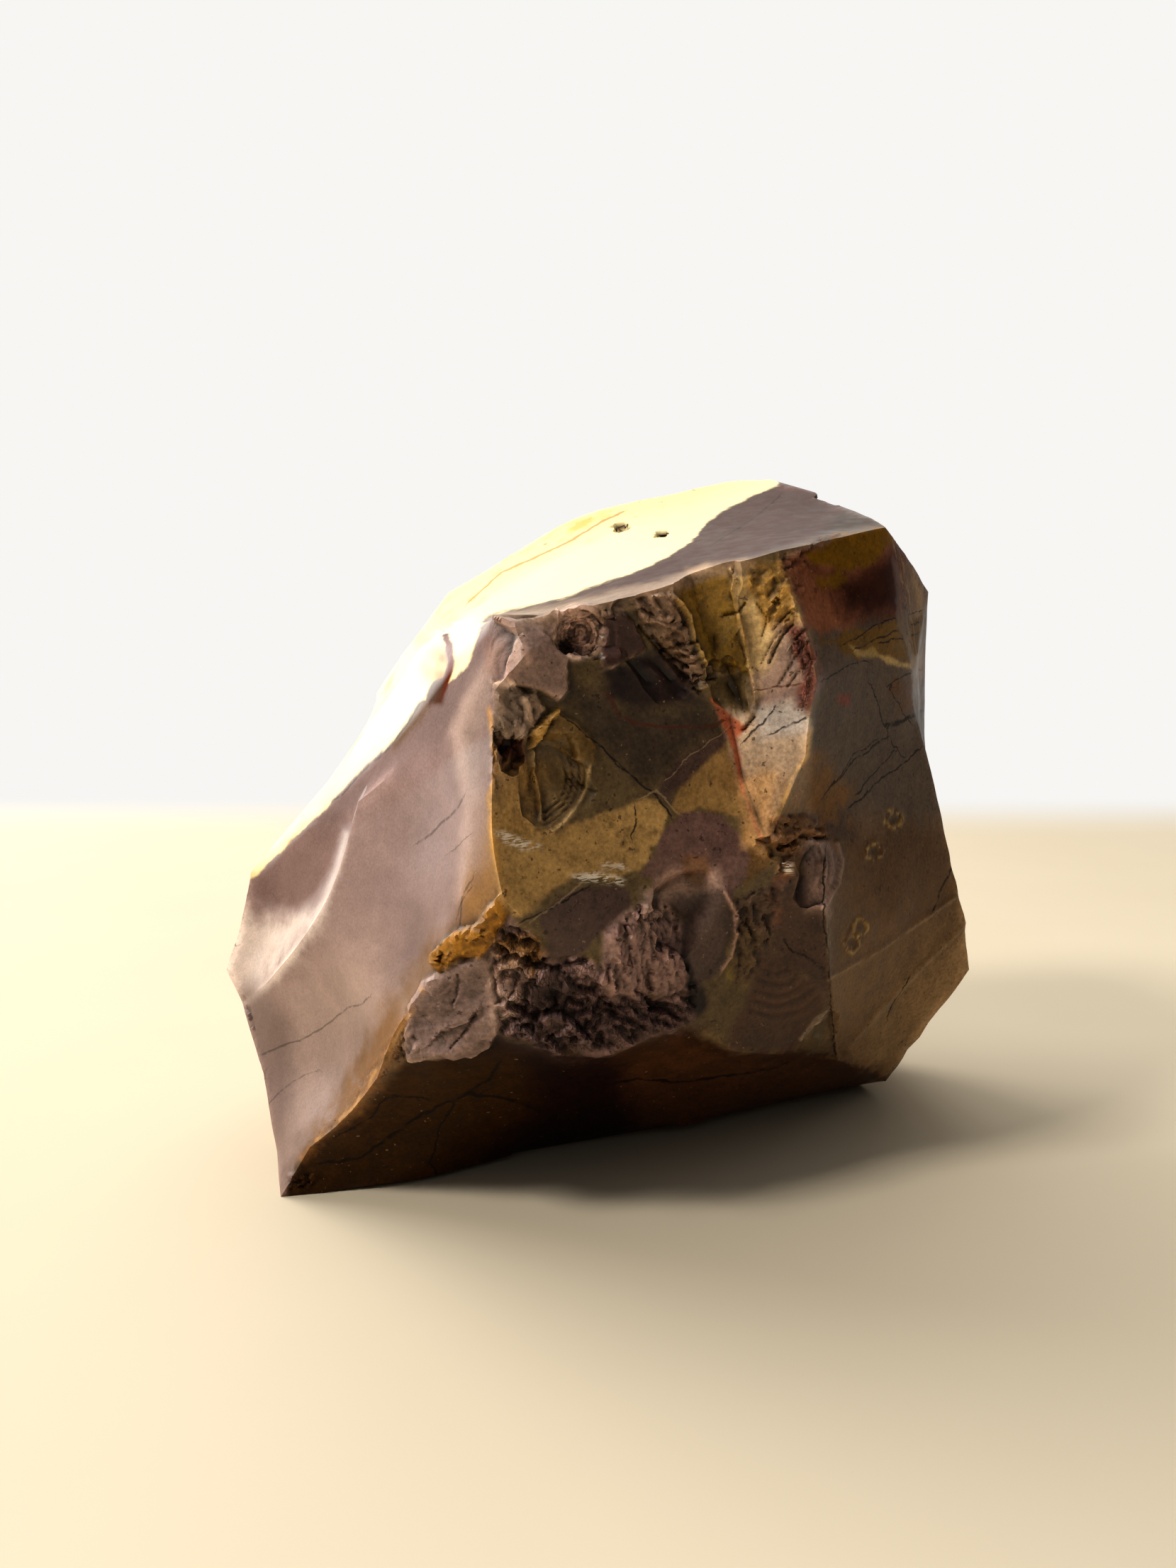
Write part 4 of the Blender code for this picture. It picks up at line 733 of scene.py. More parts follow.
# Softboxes, in metres: name, place, aim, size, power and colour
LAMPS = (
    ("back_left_softbox", (-0.66, 0.42, 0.5), (0.0, 0.0, 0.05), (0.75, 0.75), 8.0, (1.0, 0.97, 0.92)),
    ("top_softbox", (0.0, 0.5, 0.9), (0.0, 0.0, 0.05), (0.7, 0.5), 1.6, (1.0, 0.97, 0.93)),
    ("front_left_fill", (-0.5, -0.3, 0.62), (0.0, 0.0, 0.04), (0.14, 0.14), 4.0, (1.0, 0.95, 0.88)),
)

# The floor: half its width in metres, its two colours and their lumps in millimetres
FLOOR_HALF = 30.0
PAPER = (200, 188, 166)
PAPER_PALE = (206, 195, 174)
PAPER_LUMPS = 60.0

# Where the mesh is finest
FINE_OUTLINES = [row[-1] for table in (PLATES, RIPPLES, CRUMBS, LAYERS) for row in table.values()]
FINE_OUTLINES += [PIT_OUTLINE, WEDGE_OUTLINE]


def on_picture(points):
    """Where points lie on the photo, in pixels, and how many millimetres one pixel is there."""
    offset = points - EYE
    drop = -offset[:, 2]
    ahead = offset[:, 1] * math.cos(LOOK_DOWN) + drop * math.sin(LOOK_DOWN)
    down = drop * math.cos(LOOK_DOWN) - offset[:, 1] * math.sin(LOOK_DOWN)
    across = PHOTO_WIDE / 2 + FOCAL * offset[:, 0] / ahead
    return np.column_stack((across, PHOTO_HIGH / 2 + FOCAL * down / ahead)), ahead / FOCAL


def eased(value, low, high):
    """A smooth step from 0 at the low value to 1 at the high one."""
    share = np.clip((value - low) / (high - low), 0, 1)
    return share * share * (3 - 2 * share)


def grain(points, size, shift=0.0):
    """Smooth noise in space, from -1 to 1, with lumps of this many millimetres."""
    return np.array([noise.noise(spot) for spot in (points / size + shift).tolist()])


def run_distance(spots, run):
    """Pixels from each spot to a broken line, with the side of the line as its sign."""
    far = np.full(len(spots), 1e9)
    side = np.ones(len(spots))
    for start, end in zip(run, run[1:]):
        start = np.array(start, float)
        along = np.array(end, float) - start
        offset = spots - start
        share = np.clip(offset @ along / (along @ along), 0, 1)
        reach = np.hypot(*(offset - share[:, None] * along).T)
        turn = along[0] * offset[:, 1] - along[1] * offset[:, 0]
        closer = reach < far
        far[closer] = reach[closer]
        side[closer] = np.where(turn[closer] < 0, -1.0, 1.0)
    return far, side


def inside_by(spots, scale, outline, reach=6.0):
    """Millimetres that each spot lies inside an outline on the photo, or less than nothing outside."""
    corners = np.array(outline, float)
    margin = reach / scale.min()
    window = np.all((spots > corners.min(0) - margin) & (spots < corners.max(0) + margin), axis=1)
    depth = np.full(len(spots), -reach)
    near = spots[window]
    ring = np.vstack((corners, corners[:1]))
    far = run_distance(near, ring)[0]
    within = np.zeros(len(near), bool)
    for (x0, y0), (x1, y1) in zip(ring, ring[1:]):
        if y0 == y1:
            continue
        crosses = (near[:, 1] > min(y0, y1)) & (near[:, 1] <= max(y0, y1))
        meets = x0 + (near[:, 1] - y0) * (x1 - x0) / (y1 - y0)
        within ^= crosses & (meets > near[:, 0])
    depth[window] = np.clip(np.where(within, far, -far) * scale[window], -reach, reach)
    return depth


def sides_of(tris, count):
    """Every side of the triangles once, and the place of each triangle's three sides in that list."""
    ends = np.sort(tris[:, ((0, 1), (1, 2), (2, 0))].reshape(-1, 2), axis=1)
    keys, place = np.unique(ends[:, 0] * count + ends[:, 1], return_inverse=True)
    return np.column_stack((keys // count, keys % count)), place.reshape(-1, 3)


def face_normals(points, tris):
    first, second, third = (points[tris[:, corner]] for corner in range(3))
    return np.cross(second - first, third - first)


def sharp_sides(points, tris):
    """The sides where two faces meet at more than the ridge angle."""
    sides, place = sides_of(tris, len(points))
    normals = face_normals(points, tris)
    normals /= np.linalg.norm(normals, axis=1)[:, None] + 1e-12
    order = np.argsort(place.reshape(-1), kind="stable").reshape(-1, 2) // 3
    cosine = (normals[order[:, 0]] * normals[order[:, 1]]).sum(1)
    return sides[cosine < math.cos(math.radians(RIDGE_ANGLE))]


def split_long_sides(points, tris, ridges, goal):
    """Cuts every side that is longer than its goal in two, and the faces with it."""
    count = len(points)
    sides, place = sides_of(tris, count)
    lengths = np.linalg.norm(points[sides[:, 0]] - points[sides[:, 1]], axis=1)
    cut = lengths > goal[sides].mean(1) * SPLIT_OVER
    middle = np.full(len(sides), -1)
    middle[cut] = count + np.arange(cut.sum())
    keys = sides[:, 0] * count + sides[:, 1]
    ridge_middle = middle[np.searchsorted(keys, ridges[:, 0] * count + ridges[:, 1])]
    whole = ridges[ridge_middle < 0]
    halved = ridges[ridge_middle >= 0]
    centre = ridge_middle[ridge_middle >= 0]
    first_half = np.column_stack((halved[:, 0], centre))
    second_half = np.column_stack((halved[:, 1], centre))
    ridges = np.vstack((whole, first_half, second_half))
    marks = middle[place]
    number = (marks >= 0).sum(1)
    faces = [tris[number == 0]]

    def turned(rows, first):
        order = (np.arange(3) + first[:, None]) % 3
        corners = np.take_along_axis(tris[rows], order, 1)
        return corners.T, np.take_along_axis(marks[rows], order, 1).T

    one = np.flatnonzero(number == 1)
    (a, b, c), (m, _, _) = turned(one, np.argmax(marks[one] >= 0, axis=1))
    faces += [np.column_stack((a, m, c)), np.column_stack((m, b, c))]
    two = np.flatnonzero(number == 2)
    (a, b, c), (m, n, _) = turned(two, np.argmin(marks[two] >= 0, axis=1) + 1)
    faces += [np.column_stack((m, b, n)), np.column_stack((a, m, n)), np.column_stack((a, n, c))]
    three = np.flatnonzero(number == 3)
    (a, b, c), (m, n, o) = turned(three, np.zeros(len(three), int))
    faces += [np.column_stack(group) for group in ((a, m, o), (m, b, n), (o, n, c), (m, n, o))]
    points = np.vstack((points, points[sides[cut]].mean(1)))
    return points, np.vstack(faces), ridges


def neighbour_mean(values, sides, count):
    """The mean of each point's neighbours, column by column."""
    ends = np.concatenate((sides[:, 0], sides[:, 1]))
    others = np.concatenate((sides[:, 1], sides[:, 0]))
    number = np.maximum(np.bincount(ends, minlength=count), 1)
    columns = values.reshape(count, -1)
    sums = [np.bincount(ends, weights=column[others], minlength=count) for column in columns.T]
    return (np.column_stack(sums) / number[:, None]).reshape(values.shape)


def soften(points, tris, ridges, rounds):
    """Rounds the facets off while every ridge and its corners stay, and the sole stays flat."""
    count = len(points)
    sides = sides_of(tris, count)[0]
    ridge_ends = np.bincount(ridges.reshape(-1), minlength=count)
    on_ridge = ridge_ends == 2
    along = neighbour_mean(points, ridges, count)
    step = np.linalg.norm(points[ridges[:, 0]] - points[ridges[:, 1]], axis=1)
    reach = np.bincount(ridges.reshape(-1), weights=np.repeat(step, 2), minlength=count) / 2
    corner = on_ridge & (np.linalg.norm(along - points, axis=1) > RIDGE_CORNER * reach)
    held = (ridge_ends == 1) | (ridge_ends > 2) | (points[:, 2] < SOLE_FLAT) | corner
    for _ in range(rounds):
        goal = neighbour_mean(points, sides, count)
        along = neighbour_mean(points, ridges, count)
        goal[on_ridge] = along[on_ridge]
        goal[held] = points[held]
        points = points + (goal - points) * SOFTEN
    return points


def point_normals(points, tris):
    """Each point's normal: the mean of its faces' normals, weighed by their areas."""
    normals = face_normals(points, tris)
    total = np.zeros((len(points), 3))
    for corner in range(3):
        total += np.column_stack([
            np.bincount(tris[:, corner], weights=column, minlength=len(points)) for column in normals.T
        ])
    return total / (np.linalg.norm(total, axis=1)[:, None] + 1e-12)


def seen_from_eye(points, normals, shell):
    """One for each point that the camera sees, else nothing."""
    rays = points - EYE
    lengths = np.linalg.norm(rays, axis=1)
    facing = (normals * rays).sum(1) < 0
    seen = np.zeros(len(points))
    eye = Vector(EYE)
    for index in np.flatnonzero(facing).tolist():
        hit = shell.ray_cast(eye, Vector(rays[index]))
        if hit[0] is None or hit[3] > lengths[index] - BLOCKED_BY:
            seen[index] = 1.0
    return seen


def welded_stone(node):
    """The CAD stone's points, in millimetres, and its triangles, with doubles merged."""
    mesh = node.data
    mesh.calc_loop_triangles()
    points = np.empty(len(mesh.vertices) * 3)
    mesh.vertices.foreach_get("co", points)
    tris = np.empty(len(mesh.loop_triangles) * 3, np.int64)
    mesh.loop_triangles.foreach_get("vertices", tris)
    points, place = np.unique(np.round(points.reshape(-1, 3) / MM, 4), axis=0, return_inverse=True)
    tris = place.reshape(-1)[tris].reshape(-1, 3)
    whole = (tris[:, 0] != tris[:, 1]) & (tris[:, 1] != tris[:, 2]) & (tris[:, 2] != tris[:, 0])
    return points, tris[whole]


def side_goals(points, normals, shell):
    """How long the sides round each point may be: short where the photo shows something small."""
    seen = seen_from_eye(points, normals, shell) > 0
    spots, scale = on_picture(points)
    goal = np.where(seen, SEEN_SIDE, HIDDEN_SIDE)
    goal[seen & (inside_by(spots, scale, BROKEN_FRONT) > -FRONT_MARGIN)] = PLAIN_SIDE
    for outline in FINE_OUTLINES:
        goal[seen & (inside_by(spots, scale, outline) > -FINE_MARGIN)] = FINE_SIDE
    for name, _, _, _, _, outline in PATCHES:
        if name in CRISP_PATCHES:
            goal[seen & (np.abs(inside_by(spots, scale, outline)) < CRISP_MARGIN)] = CRISP_SIDE
    for middle in RING_PITS:
        goal[seen & (np.hypot(*(spots - middle).T) < RING_RADIUS + RING_MARGIN)] = CRISP_SIDE
    for _, width, run in RIBS.values():
        if width < BROAD_RIB:
            goal[seen & (run_distance(spots, run)[0] < RIB_MARGIN)] = RIB_SIDE
    return goal


def refined_stone(node):
    """The stone with its facets split and rounded, finest on the broken front."""
    points, tris = welded_stone(node)
    shell = BVHTree.FromPolygons(points.tolist(), tris.tolist())
    ridges = sharp_sides(points, tris)
    spots, scale = on_picture(points)
    worn = (inside_by(spots, scale, WORN_SPOT) > 0) & (points[:, 1] < 0)
    ridges = ridges[~worn[ridges].any(1)]
    points = soften(points, tris, ridges, 1)
    for _ in range(SPLIT_TURNS):
        goal = side_goals(points, point_normals(points, tris), shell)
        before = len(points)
        points, tris, ridges = split_long_sides(points, tris, ridges, goal)
        points = soften(points, tris, ridges, 2)
        if len(points) == before:
            break
    return points, tris, ridges, shell


def splintered(place, long, wide, slope, seed):
    """Broken flats drawn out one way, each with a level and a tilt of its own, from about -1 to 1."""
    dice = np.random.default_rng(seed)
    run = math.radians(slope)
    turned = place @ np.array(((math.cos(run), -math.sin(run)), (math.sin(run), math.cos(run))))
    turned = np.column_stack((turned / (long, wide), np.zeros(len(place))))
    low, high = turned.min(0) - 1, turned.max(0) + 1
    across, down = (np.arange(start, end) for start, end in zip(low[:2], high[:2]))
    centres = np.array([(x, y, 0.0) for x in across for y in down])
    centres[:, :2] += dice.uniform(-0.48, 0.48, (len(centres), 2))
    levels = dice.uniform(-0.6, 0.6, len(centres))
    tilts = dice.normal(0, 0.75, (len(centres), 3))
    tree = kdtree.KDTree(len(centres))
    for index, centre in enumerate(centres.tolist()):
        tree.insert(centre, index)
    tree.balance()
    nearest = np.array([tree.find(spot)[1] for spot in turned.tolist()])
    return levels[nearest] + (tilts[nearest] * (turned - centres[nearest])).sum(1)


def hole_depth(spots, middle, wide, high):
    """How far inside a small oval hole each spot lies: one in its middle, nothing on its rim."""
    return 1 - np.hypot((spots[:, 0] - middle[0]) / wide, (spots[:, 1] - middle[1]) / high)


def plates_and_ribs(points, spots, scale, wander):
    """Height of the plates, the curved ripples and the ribs."""
    height = np.zeros(len(points))
    for rise, edge, outline in PLATES.values():
        height += rise * eased(inside_by(spots, scale, outline) + wander, -edge, edge)
    for middle, first, last, spacing, rise, outline in RIPPLES.values():
        radius = np.hypot(*(spots - middle).T)
        share = eased(inside_by(spots, scale, outline), 0, 1.2) * eased(radius, first - 6, first + 6)
        share *= 1 - eased(radius, last - 6, last + 6)
        bend = spacing * 0.25 * grain(points, 4.0, 5.5)
        height += rise * share * np.sin(2 * math.pi * (radius - first + bend) / spacing)
    for rise, width, run in RIBS.values():
        far, _ = run_distance(spots, run)
        height += rise * np.exp(-((far * scale + wander * 0.4) / width) ** 2)
    return height


def crumbs_and_slabs(points, spots, scale, wander):
    """Height of the crumbled patches and of the slabs that lie over one another."""
    height = np.zeros(len(points))
    for index, (rise, long, wide, slope, outline) in enumerate(CRUMBS.values()):
        share = eased(inside_by(spots, scale, outline) + wander, -0.2, 0.9)
        rows = np.flatnonzero(share > 0)
        if len(rows) == 0:
            continue
        place = spots[rows] * scale[rows].mean()
        bend = np.column_stack([grain(points[rows], 2.2, turn) for turn in (1.7, 5.2)])
        lumps = splintered(place + 0.4 * wide * bend, long, wide, slope, index)
        lumps += 0.3 * splintered(place, long * 0.4, wide * 0.4, slope + 25, index + 100)
        height[rows] += rise * share[rows] * lumps
    for index, (rise, spacing, slope, outline) in enumerate(LAYERS.values()):
        share = eased(inside_by(spots, scale, outline) + wander, -0.1, 0.5)
        run = math.radians(slope)
        across = (spots[:, 0] * math.sin(run) - spots[:, 1] * math.cos(run)) / spacing
        across += 0.9 * grain(points, 3.0, 20.3 + index) + 0.3 * grain(points, 1.0, 31.7 + index)
        tooth = across % 1.0
        height += rise * share * (np.minimum(tooth, (1 - tooth) * 7) - 0.5)
    return height


def pits_and_marks(points, spots):
    """Height of the round pit, the ring-shaped marks, the two small holes and the bump at the left."""
    middle, wide, deep, rim = PIT
    radius = np.hypot(*(spots - middle).T) * (1 + 0.12 * grain(points, 1.5, 15.1))
    height = -deep * (1 - eased(radius, wide * 0.45, wide * 1.05))
    height += rim * np.exp(-((radius - wide * 1.1) / 4.0) ** 2)
    height += 0.12 * np.sin(radius * 1.1) * (1 - eased(radius, wide, wide * 1.2))
    crumbs = grain(points, 0.9, 41.0)
    for middle in RING_PITS:
        radius = np.hypot(*(spots - middle).T) * (1 + 0.3 * grain(points, 2.0, 44.0))
        height += (0.12 + 0.3 * crumbs) * np.exp(-((radius - RING_RADIUS) * 0.25) ** 2)
    for middle, (wide, high) in CREAM_HOLES:
        height -= HOLE_DEEP * eased(hole_depth(spots, middle, wide, high), -0.1, 0.4)
    middle, wide, rise = CHEEK_BUMP
    height += rise * np.exp(-(np.hypot(*(spots - middle).T) / wide) ** 2)
    return height


def front_relief(points, spots, scale):
    """Height in millimetres that the photo's small forms add to the seen points."""
    wander = grain(points, 1.6, 3.1) * 0.22 + grain(points, 0.7, 9.4) * 0.1
    height = plates_and_ribs(points, spots, scale, wander)
    height += crumbs_and_slabs(points, spots, scale, wander)
    return height + pits_and_marks(points, spots)


def back_relief(points):
    """Height in millimetres of the broad ripples and fine unevenness on the sides that the photo hides."""
    height = 0.12 * grain(points, 5.0, 2.2) + 0.07 * grain(points, 2.2, 6.1)
    for middle, spacing, rise in BACK_RIPPLES:
        radius = np.linalg.norm(points - middle, axis=1)
        fade = 1 - eased(radius, 14, 34)
        height += rise * fade * np.sin(2 * math.pi * (radius + 1.4 * grain(points, 9.0, 4.4)) / spacing)
    return height


def plain(colour):
    """A 0 to 255 colour in the linear values that a shader takes."""
    share = np.array(colour, float) / 255
    return np.where(share <= 0.04045, share / 12.92, ((share + 0.055) / 1.055) ** 2.4)


def front_tone(points, spots, scale):
    """The colour of the seen points, from the patches, some of them painted light or painted shade, the lit
    edges, dots, ring marks and holes.
    """
    tone = np.tile(plain(OLIVE_BROWN), (len(points), 1))
    wander = grain(points, 2.4, 1.3)
    fine = grain(points, 0.8, 4.7)
    for _, colour, soft, ragged, share, outline in PATCHES:
        depth = inside_by(spots, scale, outline) + ragged * (wander + 0.6 * fine)
        cover = share * eased(depth, -soft, soft)
        tone += cover[:, None] * (plain(colour) - tone)
    for colour, width, run in GLINTS:
        far, _ = run_distance(spots, run)
        cover = 0.6 * np.exp(-(far / (0.8 * width)) ** 2) * eased(wander, -0.45, 0.05)
        tone += cover[:, None] * (plain(colour) - tone)
    for middle in BLACK_DOTS:
        tone *= 1 - 0.7 * np.exp(-(np.hypot(*(spots - middle).T) / DOT_RADIUS) ** 2)[:, None]
    for middle in RING_PITS:
        radius = np.hypot(*(spots - middle).T) * (1 + 0.3 * wander)
        cover = 0.9 * np.exp(-((radius - RING_RADIUS) * 0.36) ** 2) * eased(fine, -0.15, 0.1)
        tone += cover[:, None] * (plain(RING_GOLD) - tone)
        tone *= 1 - 0.45 * np.exp(-(radius / RING_MIDDLE) ** 2)[:, None]
    for middle, (wide, high) in CREAM_HOLES:
        inside = eased(hole_depth(spots, middle, wide, high), -0.1, 0.2)
        tone += inside[:, None] * (plain(RUST_DARK) - tone)
    return tone


def vein_field(spots, scale, veins):
    """Signed distance, plain distance and half width of the nearest vein, in millimetres."""
    field = np.tile((VEIN_REACH, VEIN_REACH, 0.0), (len(spots), 1))
    for width, run in veins:
        far, side = run_distance(spots, run)
        far = far * scale
        closer = far < field[:, 1]
        field[closer] = np.column_stack((far * side, far, np.full(len(far), width)))[closer]
    return field


def spread(values, weight, sides, rounds):
    """Carries values from where the weight is one a little way past its edge."""
    count = len(weight)
    fixed = weight > 0.5
    share = weight.astype(float)
    carried = values * share[:, None]
    for _ in range(rounds):
        mixed = neighbour_mean(np.column_stack((carried, share)), sides, count)
        carried = np.where(fixed[:, None], carried, mixed[:, :-1])
        share = np.where(fixed, share, mixed[:, -1])
    return carried / np.maximum(share, 1e-6)[:, None], share


def new_mesh(name, points, tris):
    """A mesh from points in millimetres and triangles, shaded smooth."""
    mesh = bpy.data.meshes.new(name)
    mesh.vertices.add(len(points))
    mesh.vertices.foreach_set("co", (points * MM).reshape(-1))
    mesh.loops.add(len(tris) * 3)
    mesh.loops.foreach_set("vertex_index", tris.reshape(-1))
    mesh.polygons.add(len(tris))
    mesh.polygons.foreach_set("loop_start", np.arange(len(tris)) * 3)
    mesh.polygons.foreach_set("use_smooth", np.ones(len(tris), bool))
    mesh.update(calc_edges=True)
    mesh.validate()
    return mesh


def keep_on_points(mesh, name, values):
    """Stores one number, a vector or a colour for each point of the mesh."""
    kinds = {1: ("FLOAT", "value"), 3: ("FLOAT_VECTOR", "vector"), 4: ("FLOAT_COLOR", "color")}
    values = values.reshape(len(mesh.vertices), -1)
    kind, field = kinds[values.shape[1]]
    mesh.attributes.new(name, kind, "POINT").data.foreach_set(field, values.astype(np.float32).reshape(-1))


def add_node(tree, kind, **settings):
    node = tree.nodes.new(kind)
    for name, value in settings.items():
        setattr(node, name, value)
    return node


def feed(tree, value, socket):
    """Links a socket, or sets the plain value on it."""
    if isinstance(value, bpy.types.NodeSocket):
        tree.links.new(value, socket)
    else:
        socket.default_value = value


def reckon(tree, operation, *values):
    node = add_node(tree, "ShaderNodeMath", operation=operation)
    for value, socket in zip(values, node.inputs):
        feed(tree, value, socket)
    return node.outputs[0]


def plus(tree, first, second):
    return reckon(tree, "ADD", first, second)


def times(tree, first, second):
    return reckon(tree, "MULTIPLY", first, second)


def ramp(tree, value, low, high, start=0.0, end=1.0):
    """A smooth step from the start at the low value to the end at the high one."""
    node = add_node(tree, "ShaderNodeMapRange", interpolation_type="SMOOTHSTEP")
    given = {"Value": value, "From Min": low, "From Max": high, "To Min": start, "To Max": end}
    for name, number in given.items():
        feed(tree, number, node.inputs[name])
    return node.outputs["Result"]


def over(tree, share, below, above):
    """Lays one colour over another by a share."""
    node = add_node(tree, "ShaderNodeMix", data_type="RGBA")
    feed(tree, share, node.inputs[0])
    feed(tree, below, node.inputs[6])
    feed(tree, above, node.inputs[7])
    return node.outputs[2]


def shade(colour):
    return (*plain(colour), 1.0)


def speckle(tree, place, size, detail=3.0, rough=0.55):
    """Noise in the stone, from 0 to 1, with lumps of this many millimetres."""
    node = add_node(tree, "ShaderNodeTexNoise")
    feed(tree, place, node.inputs["Vector"])
    node.inputs["Scale"].default_value = 1 / (size * MM)
    node.inputs["Detail"].default_value = detail
    node.inputs["Roughness"].default_value = rough
    return node.outputs["Fac"]


def tinted(tree, share, below, colour):
    return over(tree, share, below, shade(colour))


def kept(tree, name, output="Fac"):
    """What the mesh keeps under this name on its points."""
    return add_node(tree, "ShaderNodeAttribute", attribute_name=name).outputs[output]


def vein_share(tree, name, wobble, factor):
    """How far a vein covers the place: thin, wavering, and running out at its ends."""
    parts = add_node(tree, "ShaderNodeSeparateXYZ")
    feed(tree, kept(tree, name, "Vector"), parts.inputs[0])
    signed, near, width = parts.outputs
    away = reckon(tree, "ABSOLUTE", plus(tree, signed, wobble))
    reach = times(tree, width, ramp(tree, near, 0.5, 1.2, 1.0, 0.0))
    share = reckon(tree, "DIVIDE", away, plus(tree, reach, 0.001))
    share = reckon(tree, "SUBTRACT", 1.0, share)
    return times(tree, ramp(tree, share, -0.15, 0.6), factor)


def clouded(tree, place, medium):
    """The points' tone, with its painted shade and highlights, and clouds of other colours on the sides
    that the photo hides.
    """
    tone = kept(tree, "tone", "Color")
    unseen = plus(tree, kept(tree, "unseen"), ramp(tree, medium, 0.3, 0.7, -0.2, 0.2))
    unseen = ramp(tree, unseen, 0.3, 0.7)
    broad = speckle(tree, place, BACK_CLOUD, 5.0)
    narrow = speckle(tree, place, BACK_CLOUD_NARROW, 5.0)
    clouds = (
        (broad, 0.575, 0.6, OCHRE_BACK),
        (narrow, 0.54, 0.58, PLUM),
        (broad, 0.42, 0.39, SLATE),
        (narrow, 0.385, 0.365, RUST),
    )
    for cloud, low, high, colour in clouds:
        tone = tinted(tree, times(tree, ramp(tree, cloud, low, high), unseen), tone, colour)
    return tone


def mottled(tree, tone, place, medium, fine, grit, cloudy):
    """The tone with cloudy mottling, strongest on the broken faces, and with grit all over."""
    large = speckle(tree, place, LARGE_LUMPS, 4.0)
    mottle = plus(tree, ramp(tree, large, 0.3, 0.7, -0.12, 0.12), ramp(tree, medium, 0.3, 0.7, -0.17, 0.17))
    mottle = plus(tree, mottle, ramp(tree, fine, 0.25, 0.75, -0.24, 0.24))
    mottle = times(tree, mottle, cloudy)
    mottle = plus(tree, mottle, ramp(tree, grit, 0.3, 0.7, -0.09, 0.09))
    scaled = add_node(tree, "ShaderNodeVectorMath", operation="SCALE")
    feed(tree, tone, scaled.inputs[0])
    feed(tree, plus(tree, 1.0, mottle), scaled.inputs["Scale"])
    return scaled.outputs[0]


def specked(tree, colour, place, cloudy):
    """Small dark and pale specks, on the broken faces only."""
    broken = ramp(tree, cloudy, 0.5, 1.0)
    dark = ramp(tree, speckle(tree, place, DARK_SPECKS, 2.0), 0.66, 0.7, 0.0, 0.7)
    colour = tinted(tree, times(tree, dark, broken), colour, DEEP_BROWN)
    pale = ramp(tree, speckle(tree, place, PALE_SPECKS, 2.0), 0.3, 0.26, 0.0, 0.4)
    return tinted(tree, times(tree, pale, broken), colour, SPECK_TAN)


def veined(tree, colour, place, wobble, breaks, cloudy):
    """The dark, cross and rusty veins, and thin threads on the hidden sides."""
    fainter = times(tree, breaks, ramp(tree, cloudy, 0.1, 0.9, 0.55, 1.0))
    veins = (
        ("dark_veins", 0.9, fainter, DARK_VEIN),
        ("cross_veins", 0.85, fainter, CROSS_VEIN),
        ("rusty_veins", 0.8, breaks, RUSTY_VEIN),
    )
    for name, share, fade, vein_colour in veins:
        cover = times(tree, vein_share(tree, name, wobble, share), fade)
        colour = tinted(tree, cover, colour, vein_colour)
    threads = speckle(tree, place, BACK_VEIN_CLOUD, 5.0, 0.5)
    away = reckon(tree, "ABSOLUTE", reckon(tree, "SUBTRACT", threads, 0.5))
    line = ramp(tree, away, 0.0, 0.006, 0.75, 0.0)
    return tinted(tree, times(tree, line, kept(tree, "hidden")), colour, THREAD_DARK)


def crumb_gaps(tree, place, medium, rough):
    """The gaps between crumbs, from nothing to one."""
    cloud = add_node(tree, "ShaderNodeTexNoise")
    feed(tree, place, cloud.inputs["Vector"])
    cloud.inputs["Scale"].default_value = 1 / (GAP_BEND_LUMPS * MM)
    warp = add_node(tree, "ShaderNodeVectorMath", operation="SCALE")
    feed(tree, cloud.outputs["Color"], warp.inputs[0])
    warp.inputs["Scale"].default_value = GAP_BEND * MM
    bent = add_node(tree, "ShaderNodeVectorMath", operation="ADD")
    feed(tree, place, bent.inputs[0])
    feed(tree, warp.outputs[0], bent.inputs[1])
    drawn = add_node(tree, "ShaderNodeMapping")
    feed(tree, bent.outputs[0], drawn.inputs["Vector"])
    drawn.inputs["Scale"].default_value = GAP_STRETCH
    gaps = []
    for size, wide in GAP_CELLS:
        cells = add_node(tree, "ShaderNodeTexVoronoi", feature="DISTANCE_TO_EDGE")
        feed(tree, drawn.outputs[0], cells.inputs["Vector"])
        cells.inputs["Scale"].default_value = 1 / (size * MM)
        gaps.append(ramp(tree, cells.outputs["Distance"], 0.0, wide, 1.0, 0.0))
    small = times(tree, gaps[1], ramp(tree, medium, 0.38, 0.6))
    gap = reckon(tree, "MAXIMUM", times(tree, gaps[0], 0.9), small)
    return times(tree, gap, ramp(tree, rough, 0.65, 1.0))


def cream_rind(tree, place, wobble):
    """The rind's colour: cream, yellower and stained towards its far edge, with painted shade round the
    bump at the left.
    """
    edge = kept(tree, "cream_edge")
    stained = ramp(tree, edge, 2.0, 14.0)
    colour = over(tree, ramp(tree, edge, 3.0, 13.0, 0.0, 0.5), shade(CREAM), shade(CREAM_WARM))
    stain = ramp(tree, speckle(tree, place, STAIN_LUMPS, 5.0, 0.62), 0.52, 0.72, 0.0, 0.7)
    colour = tinted(tree, times(tree, stain, stained), colour, CREAM_YELLOW)
    freckle = ramp(tree, speckle(tree, place, FRECKLES, 4.0), 0.66, 0.72, 0.0, 0.6)
    colour = tinted(tree, times(tree, freckle, stained), colour, FRECKLE_BROWN)
    colour = tinted(tree, vein_share(tree, "rusty_veins", wobble, 0.7), colour, RIND_VEIN)
    # Painted shade round the bump at the left
    return tinted(tree, kept(tree, "cream_painted_shade"), colour, RIND_PAINTED_SHADE)


